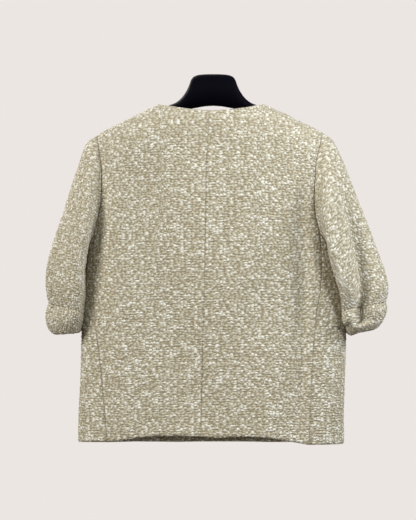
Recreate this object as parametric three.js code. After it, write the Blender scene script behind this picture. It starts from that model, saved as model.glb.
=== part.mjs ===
import * as THREE from 'three';

// Cropped tweed jacket with short gathered sleeves, hanging on a moulded hanger.
// Millimetres. +X is the wearer's left, +Y the wearer's back, +Z up.
// The origin is the middle of the top of the hanger's neck, where the hanger is held.

// ---------------------------------------------------------------- cloth and seams
const WALL = 2.6; // thickness of the tweed
const SEAM_GAP = 0.3; // space between two panels at a seam
const HALF_GAP = SEAM_GAP / 2;
const SLEEVE_CLEARANCE = 2.2; // least space between a sleeve and the side of the body

// ---------------------------------------------------------------- body
const SECTION_POWER = 2.6; // 2 is an ellipse, more is a flatter back with tighter sides
const SHOULDER_ROUND = 55; // height in which the cloth turns over the shoulder
const NECK_HALF_WIDTH = 87;
const NECK_POINT_Z = -51.5;
const FRONT_NECK_DROP = 62;
const FRONT_NECK_POWER = 2.6; // 2 is a parabola, more is a squarer scoop
const FRONT_HEM_Z = -629;
const UNDERARM_DROP = 21; // underarm below the top of the side panel's seams
const JUNCTION_Z = -270; // where a side panel's seams meet the armhole

// Half widths and half depths of the body at each height.
const BODY_ROWS = [
  { z: -60, left: 206, right: 199, back: 44, front: 46 },
  { z: -110, left: 207, right: 200, back: 50, front: 52 },
  { z: -200, left: 208, right: 202, back: 58, front: 60 },
  { z: -290, left: 210, right: 208, back: 62, front: 64 },
  { z: -350, left: 216, right: 218, back: 63, front: 66 },
  { z: -404, left: 220, right: 227, back: 63, front: 66 },
  { z: -450, left: 221, right: 227, back: 63, front: 66 },
  { z: -520, left: 223, right: 225, back: 64, front: 66 },
  { z: -580, left: 226, right: 223, back: 65, front: 67 },
  { z: -640, left: 227, right: 224, back: 66, front: 68 },
];

// The line of the shoulder, which runs on over the neck to shape the cloth below it.
const RIDGE_ROWS = [
  { x: 0, z: -34 },
  { x: 40, z: -38 },
  { x: 70, z: -45.5 },
  { x: 87, z: -51.5 },
  { x: 120, z: -66 },
  { x: 157, z: -84.5 },
  { x: 178, z: -94.5 },
  { x: 197, z: -106 },
  { x: 215, z: -118 },
];

const BACK_NECK_ROWS = [
  { x: 0, z: -63 },
  { x: 28, z: -61.3 },
  { x: 53, z: -58 },
  { x: 73, z: -54 },
  { x: 87, z: -51.5 },
];

const BACK_HEM_ROWS = [
  { x: -224, z: -629 },
  { x: -203, z: -630 },
  { x: -165, z: -627 },
  { x: -133, z: -621 },
  { x: -92, z: -614 },
  { x: -54, z: -612 },
  { x: -9, z: -614 },
  { x: 38, z: -611 },
  { x: 89, z: -611 },
  { x: 114, z: -613 },
  { x: 143, z: -617 },
  { x: 182, z: -622 },
  { x: 226, z: -626 },
];

const CENTRE_BACK_ROWS = [
  { z: -66, x: 5 },
  { z: -163, x: 9 },
  { z: -367, x: 13 },
  { z: -440, x: 15 },
  { z: -620, x: 19 },
];

const CENTRE_FRONT_ROWS = [
  { z: -113, x: 3 },
  { z: -370, x: 6 },
  { z: -630, x: 9 },
];

// Outer edge of the back and front panels: the armhole, then the side panel's seam.
const EDGE_ROWS = {
  left: [
    { z: -105, x: 195 },
    { z: -126, x: 192 },
    { z: -145, x: 188.5 },
    { z: -165, x: 186.5 },
    { z: -208, x: 187 },
    { z: -230, x: 190 },
    { z: -270, x: 199 },
    { z: -330, x: 202 },
    { z: -404, x: 199 },
    { z: -470, x: 191 },
    { z: -522, x: 185 },
    { z: -620, x: 176 },
  ],
  right: [
    { z: -101, x: 187 },
    { z: -118, x: 183.5 },
    { z: -137, x: 178.5 },
    { z: -156, x: 175.5 },
    { z: -192, x: 173 },
    { z: -215, x: 172.5 },
    { z: -245, x: 175.5 },
    { z: -270, x: 182 },
    { z: -330, x: 185 },
    { z: -367, x: 182.5 },
    { z: -418, x: 174.5 },
    { z: -505, x: 168 },
    { z: -620, x: 163 },
  ],
};

// Soft folds that run down the body. Each passes through three points; a depth above
// zero is a trough, below zero a ridge.
const BACK_FOLDS = [
  { topX: 122, topZ: -150, midX: 84, midZ: -345, lowX: 22, lowZ: -600, width: 34, depth: 6 },
  { topX: 168, topZ: -175, midX: 158, midZ: -400, lowX: 138, lowZ: -650, width: 22, depth: -4 },
  { topX: -152, topZ: -190, midX: -153, midZ: -380, lowX: -149, lowZ: -600, width: 15, depth: 5 },
  { topX: -84, topZ: -430, midX: -92, midZ: -540, lowX: -96, lowZ: -690, width: 30, depth: -4 },
  { topX: -70, topZ: -120, midX: -64, midZ: -240, lowX: -52, lowZ: -400, width: 26, depth: -3 },
];
const FRONT_FOLDS = [
  { topX: -74, topZ: -170, midX: -92, midZ: -380, lowX: -104, lowZ: -650, width: 30, depth: 6 },
  { topX: 84, topZ: -190, midX: 76, midZ: -400, lowX: 56, lowZ: -640, width: 26, depth: 5 },
  { topX: 148, topZ: -210, midX: 142, midZ: -420, lowX: 128, lowZ: -660, width: 20, depth: -4 },
];
const FOLD_FADE = 60; // length over which a fold dies out at each end
const EDGE_FADE = 20; // folds die out over this width towards the outer edge

// ---------------------------------------------------------------- sleeves and cuffs
// Each row is a section in a plane that holds the Y direction: its outer and inner ends,
// its half depth, and how far its back and front lean in around the body.
const SLEEVE_ROWS = {
  left: [
    { at: 0, outX: 195, outZ: -105, inX: 212, inZ: -291, half: 45, lean: 17 },
    { at: 0.1, outX: 213, outZ: -119, inX: 213, inZ: -298, half: 54, lean: 16 },
    { at: 0.22, outX: 224, outZ: -148, inX: 214, inZ: -307, half: 60, lean: 16 },
    { at: 0.36, outX: 239, outZ: -192, inX: 215, inZ: -322, half: 63, lean: 16 },
    { at: 0.5, outX: 253, outZ: -238, inX: 216, inZ: -340, half: 64, lean: 15 },
    { at: 0.64, outX: 269, outZ: -284, inX: 215, inZ: -358, half: 63, lean: 16 },
    { at: 0.78, outX: 280, outZ: -326, inX: 214, inZ: -378, half: 61, lean: 17 },
    { at: 0.9, outX: 282, outZ: -360, inX: 216, inZ: -396, half: 57, lean: 16 },
    { at: 1, outX: 277, outZ: -390, inX: 218, inZ: -409, half: 51, lean: 15 },
  ],
  right: [
    { at: 0, outX: 187, outZ: -101, inX: 206, inZ: -291, half: 44, lean: 24 },
    { at: 0.1, outX: 205, outZ: -115, inX: 207, inZ: -297, half: 54, lean: 26 },
    { at: 0.22, outX: 222, outZ: -148, inX: 208, inZ: -307, half: 62, lean: 30 },
    { at: 0.36, outX: 242, outZ: -195, inX: 210, inZ: -322, half: 66, lean: 32 },
    { at: 0.5, outX: 261, outZ: -244, inX: 211, inZ: -340, half: 67, lean: 32 },
    { at: 0.64, outX: 278, outZ: -292, inX: 214, inZ: -358, half: 66, lean: 29 },
    { at: 0.78, outX: 293, outZ: -333, inX: 219, inZ: -376, half: 63, lean: 25 },
    { at: 0.9, outX: 299, outZ: -364, inX: 223, inZ: -392, half: 58, lean: 22 },
    { at: 1, outX: 295, outZ: -388, inX: 226, inZ: -404, half: 52, lean: 20 },
  ],
};

const CUFF_ROWS = {
  left: [
    { at: 0, outX: 277, outZ: -391, inX: 218, inZ: -409, half: 51, lean: 15 },
    { at: 0.2, outX: 281, outZ: -402, inX: 218, inZ: -415, half: 53, lean: 15 },
    { at: 0.5, outX: 282, outZ: -417, inX: 219, inZ: -423, half: 51, lean: 13 },
    { at: 0.75, outX: 277, outZ: -433, inX: 221, inZ: -432, half: 43, lean: 9 },
    { at: 0.9, outX: 269, outZ: -441, inX: 225, inZ: -438, half: 36, lean: 6 },
    { at: 1, outX: 261, outZ: -442, inX: 231, inZ: -439, half: 31, lean: 3 },
  ],
  right: [
    { at: 0, outX: 295, outZ: -389, inX: 226, inZ: -404, half: 52, lean: 20 },
    { at: 0.2, outX: 297, outZ: -398, inX: 226, inZ: -413, half: 54, lean: 20 },
    { at: 0.5, outX: 294, outZ: -411, inX: 226.5, inZ: -427, half: 51, lean: 17 },
    { at: 0.75, outX: 286, outZ: -425, inX: 229, inZ: -438, half: 43, lean: 12 },
    { at: 0.9, outX: 276, outZ: -433, inX: 234, inZ: -443, half: 36, lean: 8 },
    { at: 1, outX: 266, outZ: -435, inX: 240, inZ: -443, half: 31, lean: 4 },
  ],
};

// Folds that run down a sleeve. The turn is measured in degrees from the sleeve's outer
// edge towards its back, at the shoulder (topTurn) and at the cuff (lowTurn). The spreads
// are those of the fold's flanks, on the outer edge's side and on the other side.
const SLEEVE_FOLDS = {
  left: [
    { topTurn: 26, lowTurn: 34, bend: 1, outer: 9, inner: 8, depth: 7, from: 0.45, to: 1.45 },
    { topTurn: 80, lowTurn: 100, bend: 1, outer: 24, inner: 20, depth: -4, from: 0.15, to: 1.3 },
    { topTurn: 285, lowTurn: 300, bend: 1, outer: 12, inner: 12, depth: 4, from: 0.4, to: 1.4 },
  ],
  right: [
    { topTurn: 28, lowTurn: 95, bend: 1.5, outer: 30, inner: 9, depth: 24, from: 0.22, to: 1.7 },
    { topTurn: 75, lowTurn: 132, bend: 1.5, outer: 26, inner: 16, depth: -9, from: 0.05, to: 1.6 },
    { topTurn: 290, lowTurn: 275, bend: 1, outer: 12, inner: 12, depth: 5, from: 0.4, to: 1.4 },
  ],
};
const SLEEVE_FOLD_FADE = 0.22; // part of the sleeve's length over which a fold dies out
const ARMHOLE_BLEND = 0.4; // part of the sleeve over which the armhole's own line dies out
const CUFF_BLEND = 0.6;

// ---------------------------------------------------------------- hanger
const HANGER_SHIFT = -2; // the neck of the hanger stands this far off the middle
const ARM_REACH = 178;
const ARM_CLEARANCE = 0.9; // between the arms' tops and the cloth on them
const TIP_LENGTH = 14; // end of an arm, over which its top rounds down
const TIP_RADIUS = 20;
const HANGER_ROWS = [
  { x: 0, top: 0, bottom: -54, half: 22 },
  { x: 14, top: -0.3, bottom: -55, half: 22 },
  { x: 26, top: -1.6, bottom: -57, half: 22 },
  { x: 34, top: -5, bottom: -58.5, half: 21.5 },
  { x: 38, top: -10.5, bottom: -59.5, half: 21 },
  { x: 41, top: -19, bottom: -60, half: 20.5 },
  { x: 46, top: -29.5, bottom: -61.5, half: 20 },
  { x: 54, top: -40.5, bottom: -64, half: 19.5 },
  { x: 63, top: -48, bottom: -67, half: 17.5 },
  { x: 73, top: -52.3, bottom: -71, half: 15.5 },
  { x: 88, top: -56.6, bottom: -78, half: 11.5 },
];
const ARM_DEPTHS = [
  { x: 88, deep: 21.5, half: 11.5 },
  { x: 120, deep: 22, half: 12.5 },
  { x: 140, deep: 21, half: 12.5 },
  { x: 160, deep: 18, half: 10 },
  { x: 172, deep: 13, half: 7 },
  { x: 178, deep: 6, half: 4 },
];

// ---------------------------------------------------------------- how finely it is cut
const NECK_COLUMNS = 5;
const SHOULDER_COLUMNS = 5;
const UPPER_ROWS = 9;
const UPPER_BUNCHING = 2; // rows crowd towards the shoulder, where the cloth turns over
const LOWER_ROWS = 8;
const SIDE_COLUMNS = 6;
const SLEEVE_RINGS = 12;
const CUFF_RINGS = 6;
const ARM_STATIONS = [100, 112, 125, 138, 150, 160, 168, 174, 178];
const HANGER_AROUND = 16;

// ---------------------------------------------------------------- tables and numbers
const clamp = (value, low, high) => Math.min(Math.max(value, low), high);

function smooth(from, to, value) {
  const part = clamp((value - from) / (to - from), 0, 1);
  return part * part * (3 - 2 * part);
}

// A smooth curve through the values of one column of a table, along its key column.
function track(rows, key, column) {
  const sorted = [...rows].sort((one, other) => one[key] - other[key]);
  const last = sorted.length - 1;
  const slope = (index) => {
    const before = sorted[Math.max(index - 1, 0)];
    const after = sorted[Math.min(index + 1, last)];
    return (after[column] - before[column]) / (after[key] - before[key]);
  };
  return (at) => {
    const place = clamp(at, sorted[0][key], sorted[last][key]);
    let index = 0;
    while (index < last - 1 && place > sorted[index + 1][key]) index += 1;
    const start = sorted[index];
    const end = sorted[index + 1];
    const span = end[key] - start[key];
    const part = (place - start[key]) / span;
    const square = part * part;
    const cube = square * part;
    return (
      (2 * cube - 3 * square + 1) * start[column] +
      (cube - 2 * square + part) * span * slope(index) +
      (3 * square - 2 * cube) * end[column] +
      (cube - square) * span * slope(index + 1)
    );
  };
}

const halfWidth = { left: track(BODY_ROWS, 'z', 'left'), right: track(BODY_ROWS, 'z', 'right') };
const halfDepth = { back: track(BODY_ROWS, 'z', 'back'), front: track(BODY_ROWS, 'z', 'front') };
const ridgeLine = track(RIDGE_ROWS, 'x', 'z');
const backNeck = track(BACK_NECK_ROWS, 'x', 'z');
const backHem = track(BACK_HEM_ROWS, 'x', 'z');
const centreBack = track(CENTRE_BACK_ROWS, 'z', 'x');
const centreFront = track(CENTRE_FRONT_ROWS, 'z', 'x');
const outerEdge = { left: track(EDGE_ROWS.left, 'z', 'x'), right: track(EDGE_ROWS.right, 'z', 'x') };

const sideSign = (side) => (side === 'left' ? 1 : -1);
const faceSign = (face) => (face === 'back' ? 1 : -1);
const ridge = (x) => ridgeLine(Math.abs(x));

// ---------------------------------------------------------------- the body's surface
function foldDepth(folds, x, z) {
  let sum = 0;
  for (const fold of folds) {
    const down = (fold.topZ - z) / (fold.topZ - fold.lowZ);
    const middle = (fold.topZ - fold.midZ) / (fold.topZ - fold.lowZ);
    const toMiddle = (down * (down - 1)) / (middle * (middle - 1));
    const toLow = (down * (down - middle)) / (1 - middle);
    const toTop = ((down - middle) * (down - 1)) / middle;
    const centre = fold.topX * toTop + fold.midX * toMiddle + fold.lowX * toLow;
    const ends = smooth(fold.topZ + FOLD_FADE, fold.topZ - FOLD_FADE, z);
    const tail = smooth(fold.lowZ - FOLD_FADE, fold.lowZ + FOLD_FADE, z);
    sum += fold.depth * ends * tail * Math.exp(-(((x - centre) / fold.width) ** 2));
  }
  return sum;
}

// How far the cloth stands from the body's middle plane at a place on its back or front.
function bodyDepth(x, z, face) {
  const side = x > 0 ? 'left' : 'right';
  const across = clamp(Math.abs(x) / halfWidth[side](z), 0, 1);
  const plan = (1 - across ** SECTION_POWER) ** (1 / SECTION_POWER);
  const rise = clamp(1 - (ridge(x) - z) / SHOULDER_ROUND, 0, 1);
  const turn = Math.sqrt(1 - rise * rise);
  const fade = smooth(0, EDGE_FADE, outerEdge[side](z) - Math.abs(x));
  const folds = face === 'back' ? BACK_FOLDS : FRONT_FOLDS;
  return turn * (plan * halfDepth[face](z) - fade * foldDepth(folds, x, z));
}

// How far out the side of the body stands, at a distance in front of or behind its middle.
function sideReach(side, y, z) {
  const face = y > 0 ? 'back' : 'front';
  const part = clamp((Math.abs(y) - HALF_GAP) / halfDepth[face](z), 0, 1);
  return halfWidth[side](z) * (1 - part ** SECTION_POWER) ** (1 / SECTION_POWER);
}

function bodyNormal(point) {
  const step = 0.4;
  const level = (x, y, z) => {
    const depth = bodyDepth(x, z, y > 0 ? 'back' : 'front');
    const out = Math.max(Math.abs(y) - HALF_GAP, 0);
    return out * out - depth * depth;
  };
  const { x, y, z } = point;
  return new THREE.Vector3(
    level(x + step, y, z) - level(x - step, y, z),
    level(x, y + step, z) - level(x, y - step, z),
    level(x, y, z + step) - level(x, y, z - step),
  ).normalize();
}

function bodyPoint(x, z, face) {
  return new THREE.Vector3(x, faceSign(face) * (bodyDepth(x, z, face) + HALF_GAP), z);
}

function inward(point, normal) {
  return point.clone().addScaledVector(normal, -WALL);
}

// ---------------------------------------------------------------- closed shells
function triangleVolume(points, [a, b, c]) {
  return points[a].dot(points[b].clone().cross(points[c])) / 6;
}

// A closed wall between two grids of points. A grid that goes all round has no side rims.
function wallGeometry(outer, inner, allRound) {
  const rows = outer.length;
  const columns = outer[0].length;
  const points = [...outer.flat(), ...inner.flat()];
  const at = (layer, row, column) => (layer * rows + row) * columns + (column % columns);
  const faces = [];
  const quad = (a, b, c, d) => faces.push([a, b, c], [a, c, d]);
  const reach = allRound ? columns : columns - 1;
  for (let row = 0; row < rows - 1; row += 1) {
    for (let column = 0; column < reach; column += 1) {
      const next = column + 1;
      quad(at(0, row, column), at(0, row, next), at(0, row + 1, next), at(0, row + 1, column));
      quad(at(1, row + 1, column), at(1, row + 1, next), at(1, row, next), at(1, row, column));
    }
  }
  const end = rows - 1;
  for (let column = 0; column < reach; column += 1) {
    const next = column + 1;
    quad(at(1, 0, column), at(1, 0, next), at(0, 0, next), at(0, 0, column));
    quad(at(0, end, column), at(0, end, next), at(1, end, next), at(1, end, column));
  }
  if (!allRound) {
    for (let row = 0; row < end; row += 1) {
      quad(at(0, row, 0), at(0, row + 1, 0), at(1, row + 1, 0), at(1, row, 0));
      quad(at(1, row, reach), at(1, row + 1, reach), at(0, row + 1, reach), at(0, row, reach));
    }
  }
  return closedGeometry(points, faces);
}

function closedGeometry(points, faces) {
  const volume = faces.reduce((sum, face) => sum + triangleVolume(points, face), 0);
  const turned = volume < 0 ? faces.map(([a, b, c]) => [a, c, b]) : faces;
  const geometry = new THREE.BufferGeometry();
  geometry.setFromPoints(points);
  geometry.setIndex(turned.flat());
  geometry.computeVertexNormals();
  return geometry;
}

// ---------------------------------------------------------------- back and front panels
function panelTop(x, face) {
  const out = Math.abs(x);
  if (out >= NECK_HALF_WIDTH) return ridge(x);
  if (face === 'back') return backNeck(out);
  return NECK_POINT_Z - FRONT_NECK_DROP * (1 - (out / NECK_HALF_WIDTH) ** FRONT_NECK_POWER);
}

const panelHem = (x, face) => (face === 'back' ? backHem(x) : FRONT_HEM_Z);

// Place across a panel: 0 at the centre seam, 1 at its outer edge.
function panelX(side, face, across, z) {
  const sign = sideSign(side);
  const centre = (face === 'back' ? centreBack(z) : centreFront(z)) + sign * HALF_GAP;
  const edge = sign * (outerEdge[side](z) - HALF_GAP);
  return centre + (edge - centre) * across;
}

function columnTop(side, face, across) {
  let low = -200;
  let high = 0;
  for (let turn = 0; turn < 40; turn += 1) {
    const middle = (low + high) / 2;
    if (middle > panelTop(panelX(side, face, across, middle), face)) high = middle;
    else low = middle;
  }
  return low;
}

function columnHem(side, face, across) {
  return panelHem(panelX(side, face, across, FRONT_HEM_Z), face);
}

function panelColumns(side, face) {
  const centre = panelX(side, face, 0, NECK_POINT_Z);
  const edge = panelX(side, face, 1, NECK_POINT_Z);
  const neck = (sideSign(side) * NECK_HALF_WIDTH - centre) / (edge - centre);
  const columns = [];
  for (let index = 0; index < NECK_COLUMNS; index += 1) {
    columns.push(neck * Math.sin((index / NECK_COLUMNS) * (Math.PI / 2)));
  }
  for (let index = 0; index <= SHOULDER_COLUMNS; index += 1) {
    columns.push(neck + (1 - neck) * (index / SHOULDER_COLUMNS));
  }
  return columns;
}

// Heights of one column's points, from the hem to the top. The row at the junction of
// the side panel's seam and the armhole is the same in every panel.
function columnHeights(side, face, across) {
  const hem = columnHem(side, face, across);
  const top = columnTop(side, face, across);
  const edgeHem = columnHem(side, face, 1);
  const part = (JUNCTION_Z - edgeHem) / (columnTop(side, face, 1) - edgeHem);
  const joint = hem + (top - hem) * part;
  const heights = [];
  for (let row = 0; row < LOWER_ROWS; row += 1) heights.push(hem + ((joint - hem) * row) / LOWER_ROWS);
  for (let row = 0; row <= UPPER_ROWS; row += 1) {
    heights.push(top - (top - joint) * (1 - row / UPPER_ROWS) ** UPPER_BUNCHING);
  }
  return heights;
}

function panelGrid(side, face) {
  const columns = panelColumns(side, face);
  const heights = columns.map((across) => columnHeights(side, face, across));
  return heights[0].map((_, row) =>
    columns.map((across, column) => {
      const z = heights[column][row];
      return bodyPoint(panelX(side, face, across, z), z, face);
    }),
  );
}

function bodyWall(outer) {
  const inner = outer.map((row) => row.map((point) => inward(point, bodyNormal(point))));
  return wallGeometry(outer, inner, false);
}

// ---------------------------------------------------------------- side panels
// A place on a side panel: part runs from 1 at the back seam to -1 at the front seam.
function sidePoint(side, part, z) {
  const face = part > 0 ? 'back' : 'front';
  const seamX = outerEdge[side](z) + HALF_GAP;
  const seamDepth = bodyDepth(sideSign(side) * seamX, z, face) + HALF_GAP;
  const y = part * seamDepth;
  return new THREE.Vector3(sideSign(side) * sideReach(side, y, z), y, z);
}

function sideHem(side, part) {
  const back = columnHem(side, 'back', 1);
  return back + (FRONT_HEM_Z - back) * ((1 - part) / 2);
}

const sideTop = (part) => JUNCTION_Z - UNDERARM_DROP * (1 - part * part);

function sideGrid(side) {
  const grid = [];
  for (let row = 0; row <= LOWER_ROWS; row += 1) {
    const line = [];
    for (let column = 0; column <= SIDE_COLUMNS; column += 1) {
      const part = 1 - (2 * column) / SIDE_COLUMNS;
      const hem = sideHem(side, part);
      line.push(sidePoint(side, part, hem + ((sideTop(part) - hem) * row) / LOWER_ROWS));
    }
    grid.push(line);
  }
  return grid;
}

// ---------------------------------------------------------------- armholes
// The armhole's edge, from the shoulder down the back, under the arm and up the front.
function armhole(side) {
  const climb = (face) => {
    const rows = panelGrid(side, face).slice(LOWER_ROWS);
    return rows.map((row) => row[row.length - 1]);
  };
  const under = sideGrid(side)[LOWER_ROWS];
  return [...climb('back').reverse(), ...under.slice(1, -1), ...climb('front').slice(0, -1)];
}

// Where the sleeve starts: the armhole's edge, moved away from the panels by the seam's gap.
function sleeveStart(side) {
  const loop = armhole(side);
  const count = loop.length;
  return loop.map((point, index) => {
    const along = loop[(index + 1) % count].clone().sub(loop[(index + count - 1) % count]);
    const normal = bodyNormal(point);
    const away = along.normalize().cross(normal).multiplyScalar(sideSign(side)).normalize();
    const start = point.clone().addScaledVector(away, SEAM_GAP).addScaledVector(normal, SEAM_GAP);
    return { start, away };
  });
}

// Turn of each point round the sleeve: 0 at the shoulder, half a turn at the underarm.
function loopTurns(points, halfway) {
  const lengths = [0];
  for (let index = 0; index < points.length; index += 1) {
    const next = points[(index + 1) % points.length];
    lengths.push(lengths[index] + points[index].distanceTo(next));
  }
  const half = lengths[halfway];
  const whole = lengths[points.length];
  return points.map((_, index) =>
    index <= halfway
      ? (Math.PI * lengths[index]) / half
      : Math.PI * (1 + (lengths[index] - half) / (whole - half)),
  );
}

// ---------------------------------------------------------------- sleeves and cuffs
function sectionTracks(rows) {
  const names = ['outX', 'outZ', 'inX', 'inZ', 'half', 'lean'];
  return Object.fromEntries(names.map((name) => [name, track(rows, 'at', name)]));
}

function sectionPoint(tracks, side, at, turn) {
  const value = (name) => tracks[name](at);
  const swing = (1 + Math.cos(turn)) / 2;
  const x = value('inX') + (value('outX') - value('inX')) * swing - value('lean') * Math.sin(turn) ** 2;
  const z = value('inZ') + (value('outZ') - value('inZ')) * swing;
  return new THREE.Vector3(sideSign(side) * x, value('half') * Math.sin(turn), z);
}

function sectionCentre(tracks, side, at) {
  return sectionPoint(tracks, side, at, 0).add(sectionPoint(tracks, side, at, Math.PI)).multiplyScalar(0.5);
}

function sleeveFold(folds, at, turn) {
  let sum = 0;
  for (const fold of folds) {
    const low = clamp(at, 0, 1) ** fold.bend;
    const centre = fold.topTurn + (fold.lowTurn - fold.topTurn) * low;
    const degrees = THREE.MathUtils.radToDeg(turn);
    const apart = ((degrees - centre + 540) % 360) - 180;
    const ends = smooth(fold.from, fold.from + SLEEVE_FOLD_FADE, at);
    const tail = 1 - smooth(fold.to - SLEEVE_FOLD_FADE, fold.to, at);
    const spread = apart > 0 ? fold.inner : fold.outer;
    sum += fold.depth * ends * tail * Math.exp(-((apart / spread) ** 2));
  }
  return sum;
}

function clearOfBody(point, side) {
  const sign = sideSign(side);
  if (point.z > JUNCTION_Z) return point;
  const least = sideReach(side, point.y, point.z) + SLEEVE_CLEARANCE;
  const deep = halfDepth[point.y > 0 ? 'back' : 'front'](point.z);
  if (Math.abs(point.y) < deep && sign * point.x < least) point.setX(sign * least);
  return point;
}

// Rings of a sleeve or a cuff. The first ring is given, and its own line dies out.
function tubeGrid({ side, rows, start, turns, folds, rings, blend, foldShift }) {
  const tracks = sectionTracks(rows);
  const grid = [start];
  for (let ring = 1; ring <= rings; ring += 1) {
    const at = ring / rings;
    const centre = sectionCentre(tracks, side, at);
    const keep = (1 - clamp(at / blend, 0, 1)) ** 2;
    grid.push(
      turns.map((turn, index) => {
        const plain = sectionPoint(tracks, side, at, turn);
        const first = sectionPoint(tracks, side, 0, turn);
        const radial = plain.clone().sub(centre).normalize();
        const fold = sleeveFold(folds, at + foldShift, turn) * (1 - keep);
        plain.addScaledVector(radial, -fold);
        plain.addScaledVector(start[index].clone().sub(first), keep);
        return clearOfBody(plain, side);
      }),
    );
  }
  return grid;
}

function gridNormals(grid) {
  const rows = grid.length;
  const columns = grid[0].length;
  return grid.map((line, row) => {
    const middle = line.reduce((sum, point) => sum.add(point), new THREE.Vector3()).divideScalar(columns);
    return line.map((point, column) => {
      const around = line[(column + 1) % columns].clone().sub(line[(column + columns - 1) % columns]);
      const above = grid[Math.max(row - 1, 0)][column];
      const below = grid[Math.min(row + 1, rows - 1)][column];
      const normal = around.cross(below.clone().sub(above)).normalize();
      return { normal, facing: normal.dot(point.clone().sub(middle)) };
    });
  });
}

function tubeWall(grid, firstAway) {
  const normals = gridNormals(grid);
  const facing = normals.flat().reduce((sum, entry) => sum + Math.sign(entry.facing), 0);
  const sign = Math.sign(facing);
  const inner = grid.map((line, row) =>
    line.map((point, column) => {
      const into = normals[row][column].normal.clone().multiplyScalar(-sign);
      if (row === 0 && firstAway) {
        const away = firstAway[column];
        const back = Math.min(into.dot(away), 0);
        into.addScaledVector(away, -back).normalize();
      }
      return point.clone().addScaledVector(into, WALL);
    }),
  );
  return wallGeometry(grid, inner, true);
}

function sleeveGrid(side) {
  const starts = sleeveStart(side);
  const start = starts.map((entry) => entry.start);
  const turns = loopTurns(start, UPPER_ROWS + SIDE_COLUMNS / 2);
  const grid = tubeGrid({
    side,
    rows: SLEEVE_ROWS[side],
    start,
    turns,
    folds: SLEEVE_FOLDS[side],
    rings: SLEEVE_RINGS,
    blend: ARMHOLE_BLEND,
    foldShift: 0,
  });
  return { grid, turns, away: starts.map((entry) => entry.away) };
}

function cuffGrid(side) {
  const { grid, turns } = sleeveGrid(side);
  const start = grid[SLEEVE_RINGS].map((point) => point.clone().setZ(point.z - SEAM_GAP));
  return tubeGrid({
    side,
    rows: CUFF_ROWS[side],
    start,
    turns,
    folds: SLEEVE_FOLDS[side],
    rings: CUFF_RINGS,
    blend: CUFF_BLEND,
    foldShift: 1,
  });
}

// ---------------------------------------------------------------- hanger
function armTop(x) {
  const step = 1;
  const slope = (ridge(x + step) - ridge(x - step)) / (2 * step);
  return ridge(x) - (WALL + ARM_CLEARANCE) * Math.sqrt(1 + slope * slope);
}

// Stations along the hanger, from its right end to its left end.
function hangerStations() {
  const deep = track(ARM_DEPTHS, 'x', 'deep');
  const half = track(ARM_DEPTHS, 'x', 'half');
  const arms = ARM_STATIONS.map((x) => ({ x, top: null, deep: deep(x), half: half(x) }));
  const middle = HANGER_ROWS.map(
    ({ x, top, bottom, half: thick }) => ({ x, top, deep: top - bottom, half: thick }),
  );
  const oneSide = [...middle, ...arms];
  const place = (station, sign) => {
    const x = HANGER_SHIFT + sign * station.x;
    const along = Math.max(station.x - (ARM_REACH - TIP_LENGTH), 0);
    const drop = along ** 2 / (2 * TIP_RADIUS);
    const top = station.top === null ? armTop(x) - drop : station.top;
    return { x, top, bottom: top - station.deep, half: station.half };
  };
  const left = oneSide.map((station) => place(station, 1));
  const right = oneSide.slice(1).map((station) => place(station, -1));
  return [...right.reverse(), ...left];
}

function hangerGeometry() {
  const stations = hangerStations();
  const points = [];
  for (const { x, top, bottom, half } of stations) {
    const middle = (top + bottom) / 2;
    const tall = (top - bottom) / 2;
    for (let index = 0; index < HANGER_AROUND; index += 1) {
      const turn = (index / HANGER_AROUND) * Math.PI * 2;
      points.push(new THREE.Vector3(x, half * Math.sin(turn), middle + tall * Math.cos(turn)));
    }
  }
  const faces = [];
  for (let station = 0; station < stations.length - 1; station += 1) {
    for (let index = 0; index < HANGER_AROUND; index += 1) {
      const next = (index + 1) % HANGER_AROUND;
      const here = station * HANGER_AROUND;
      const there = here + HANGER_AROUND;
      faces.push([here + index, there + index, there + next], [here + index, there + next, here + next]);
    }
  }
  const last = (stations.length - 1) * HANGER_AROUND;
  for (let index = 1; index < HANGER_AROUND - 1; index += 1) {
    faces.push([0, index, index + 1], [last, last + index + 1, last + index]);
  }
  return closedGeometry(points, faces);
}

// ---------------------------------------------------------------- the part
const tweed = () => new THREE.MeshStandardMaterial({ color: 0xd8cfb8, roughness: 0.95, metalness: 0 });
const blackPlastic = () => new THREE.MeshStandardMaterial({ color: 0x050408, roughness: 0.6, metalness: 0 });

function piece(name, geometry, material) {
  const mesh = new THREE.Mesh(geometry, material);
  mesh.name = name;
  return mesh;
}

const jacket = new THREE.Group();
for (const side of ['left', 'right']) {
  const sleeve = sleeveGrid(side);
  jacket.add(
    piece(`back_${side}`, bodyWall(panelGrid(side, 'back')), tweed()),
    piece(`front_${side}`, bodyWall(panelGrid(side, 'front')), tweed()),
    piece(`side_${side}`, bodyWall(sideGrid(side)), tweed()),
    piece(`sleeve_${side}`, tubeWall(sleeve.grid, sleeve.away), tweed()),
    piece(`cuff_${side}`, tubeWall(cuffGrid(side)), tweed()),
  );
}

const model = new THREE.Group();
model.add(jacket, piece('hanger', hangerGeometry(), blackPlastic()));

export default model;
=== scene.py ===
import math

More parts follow.
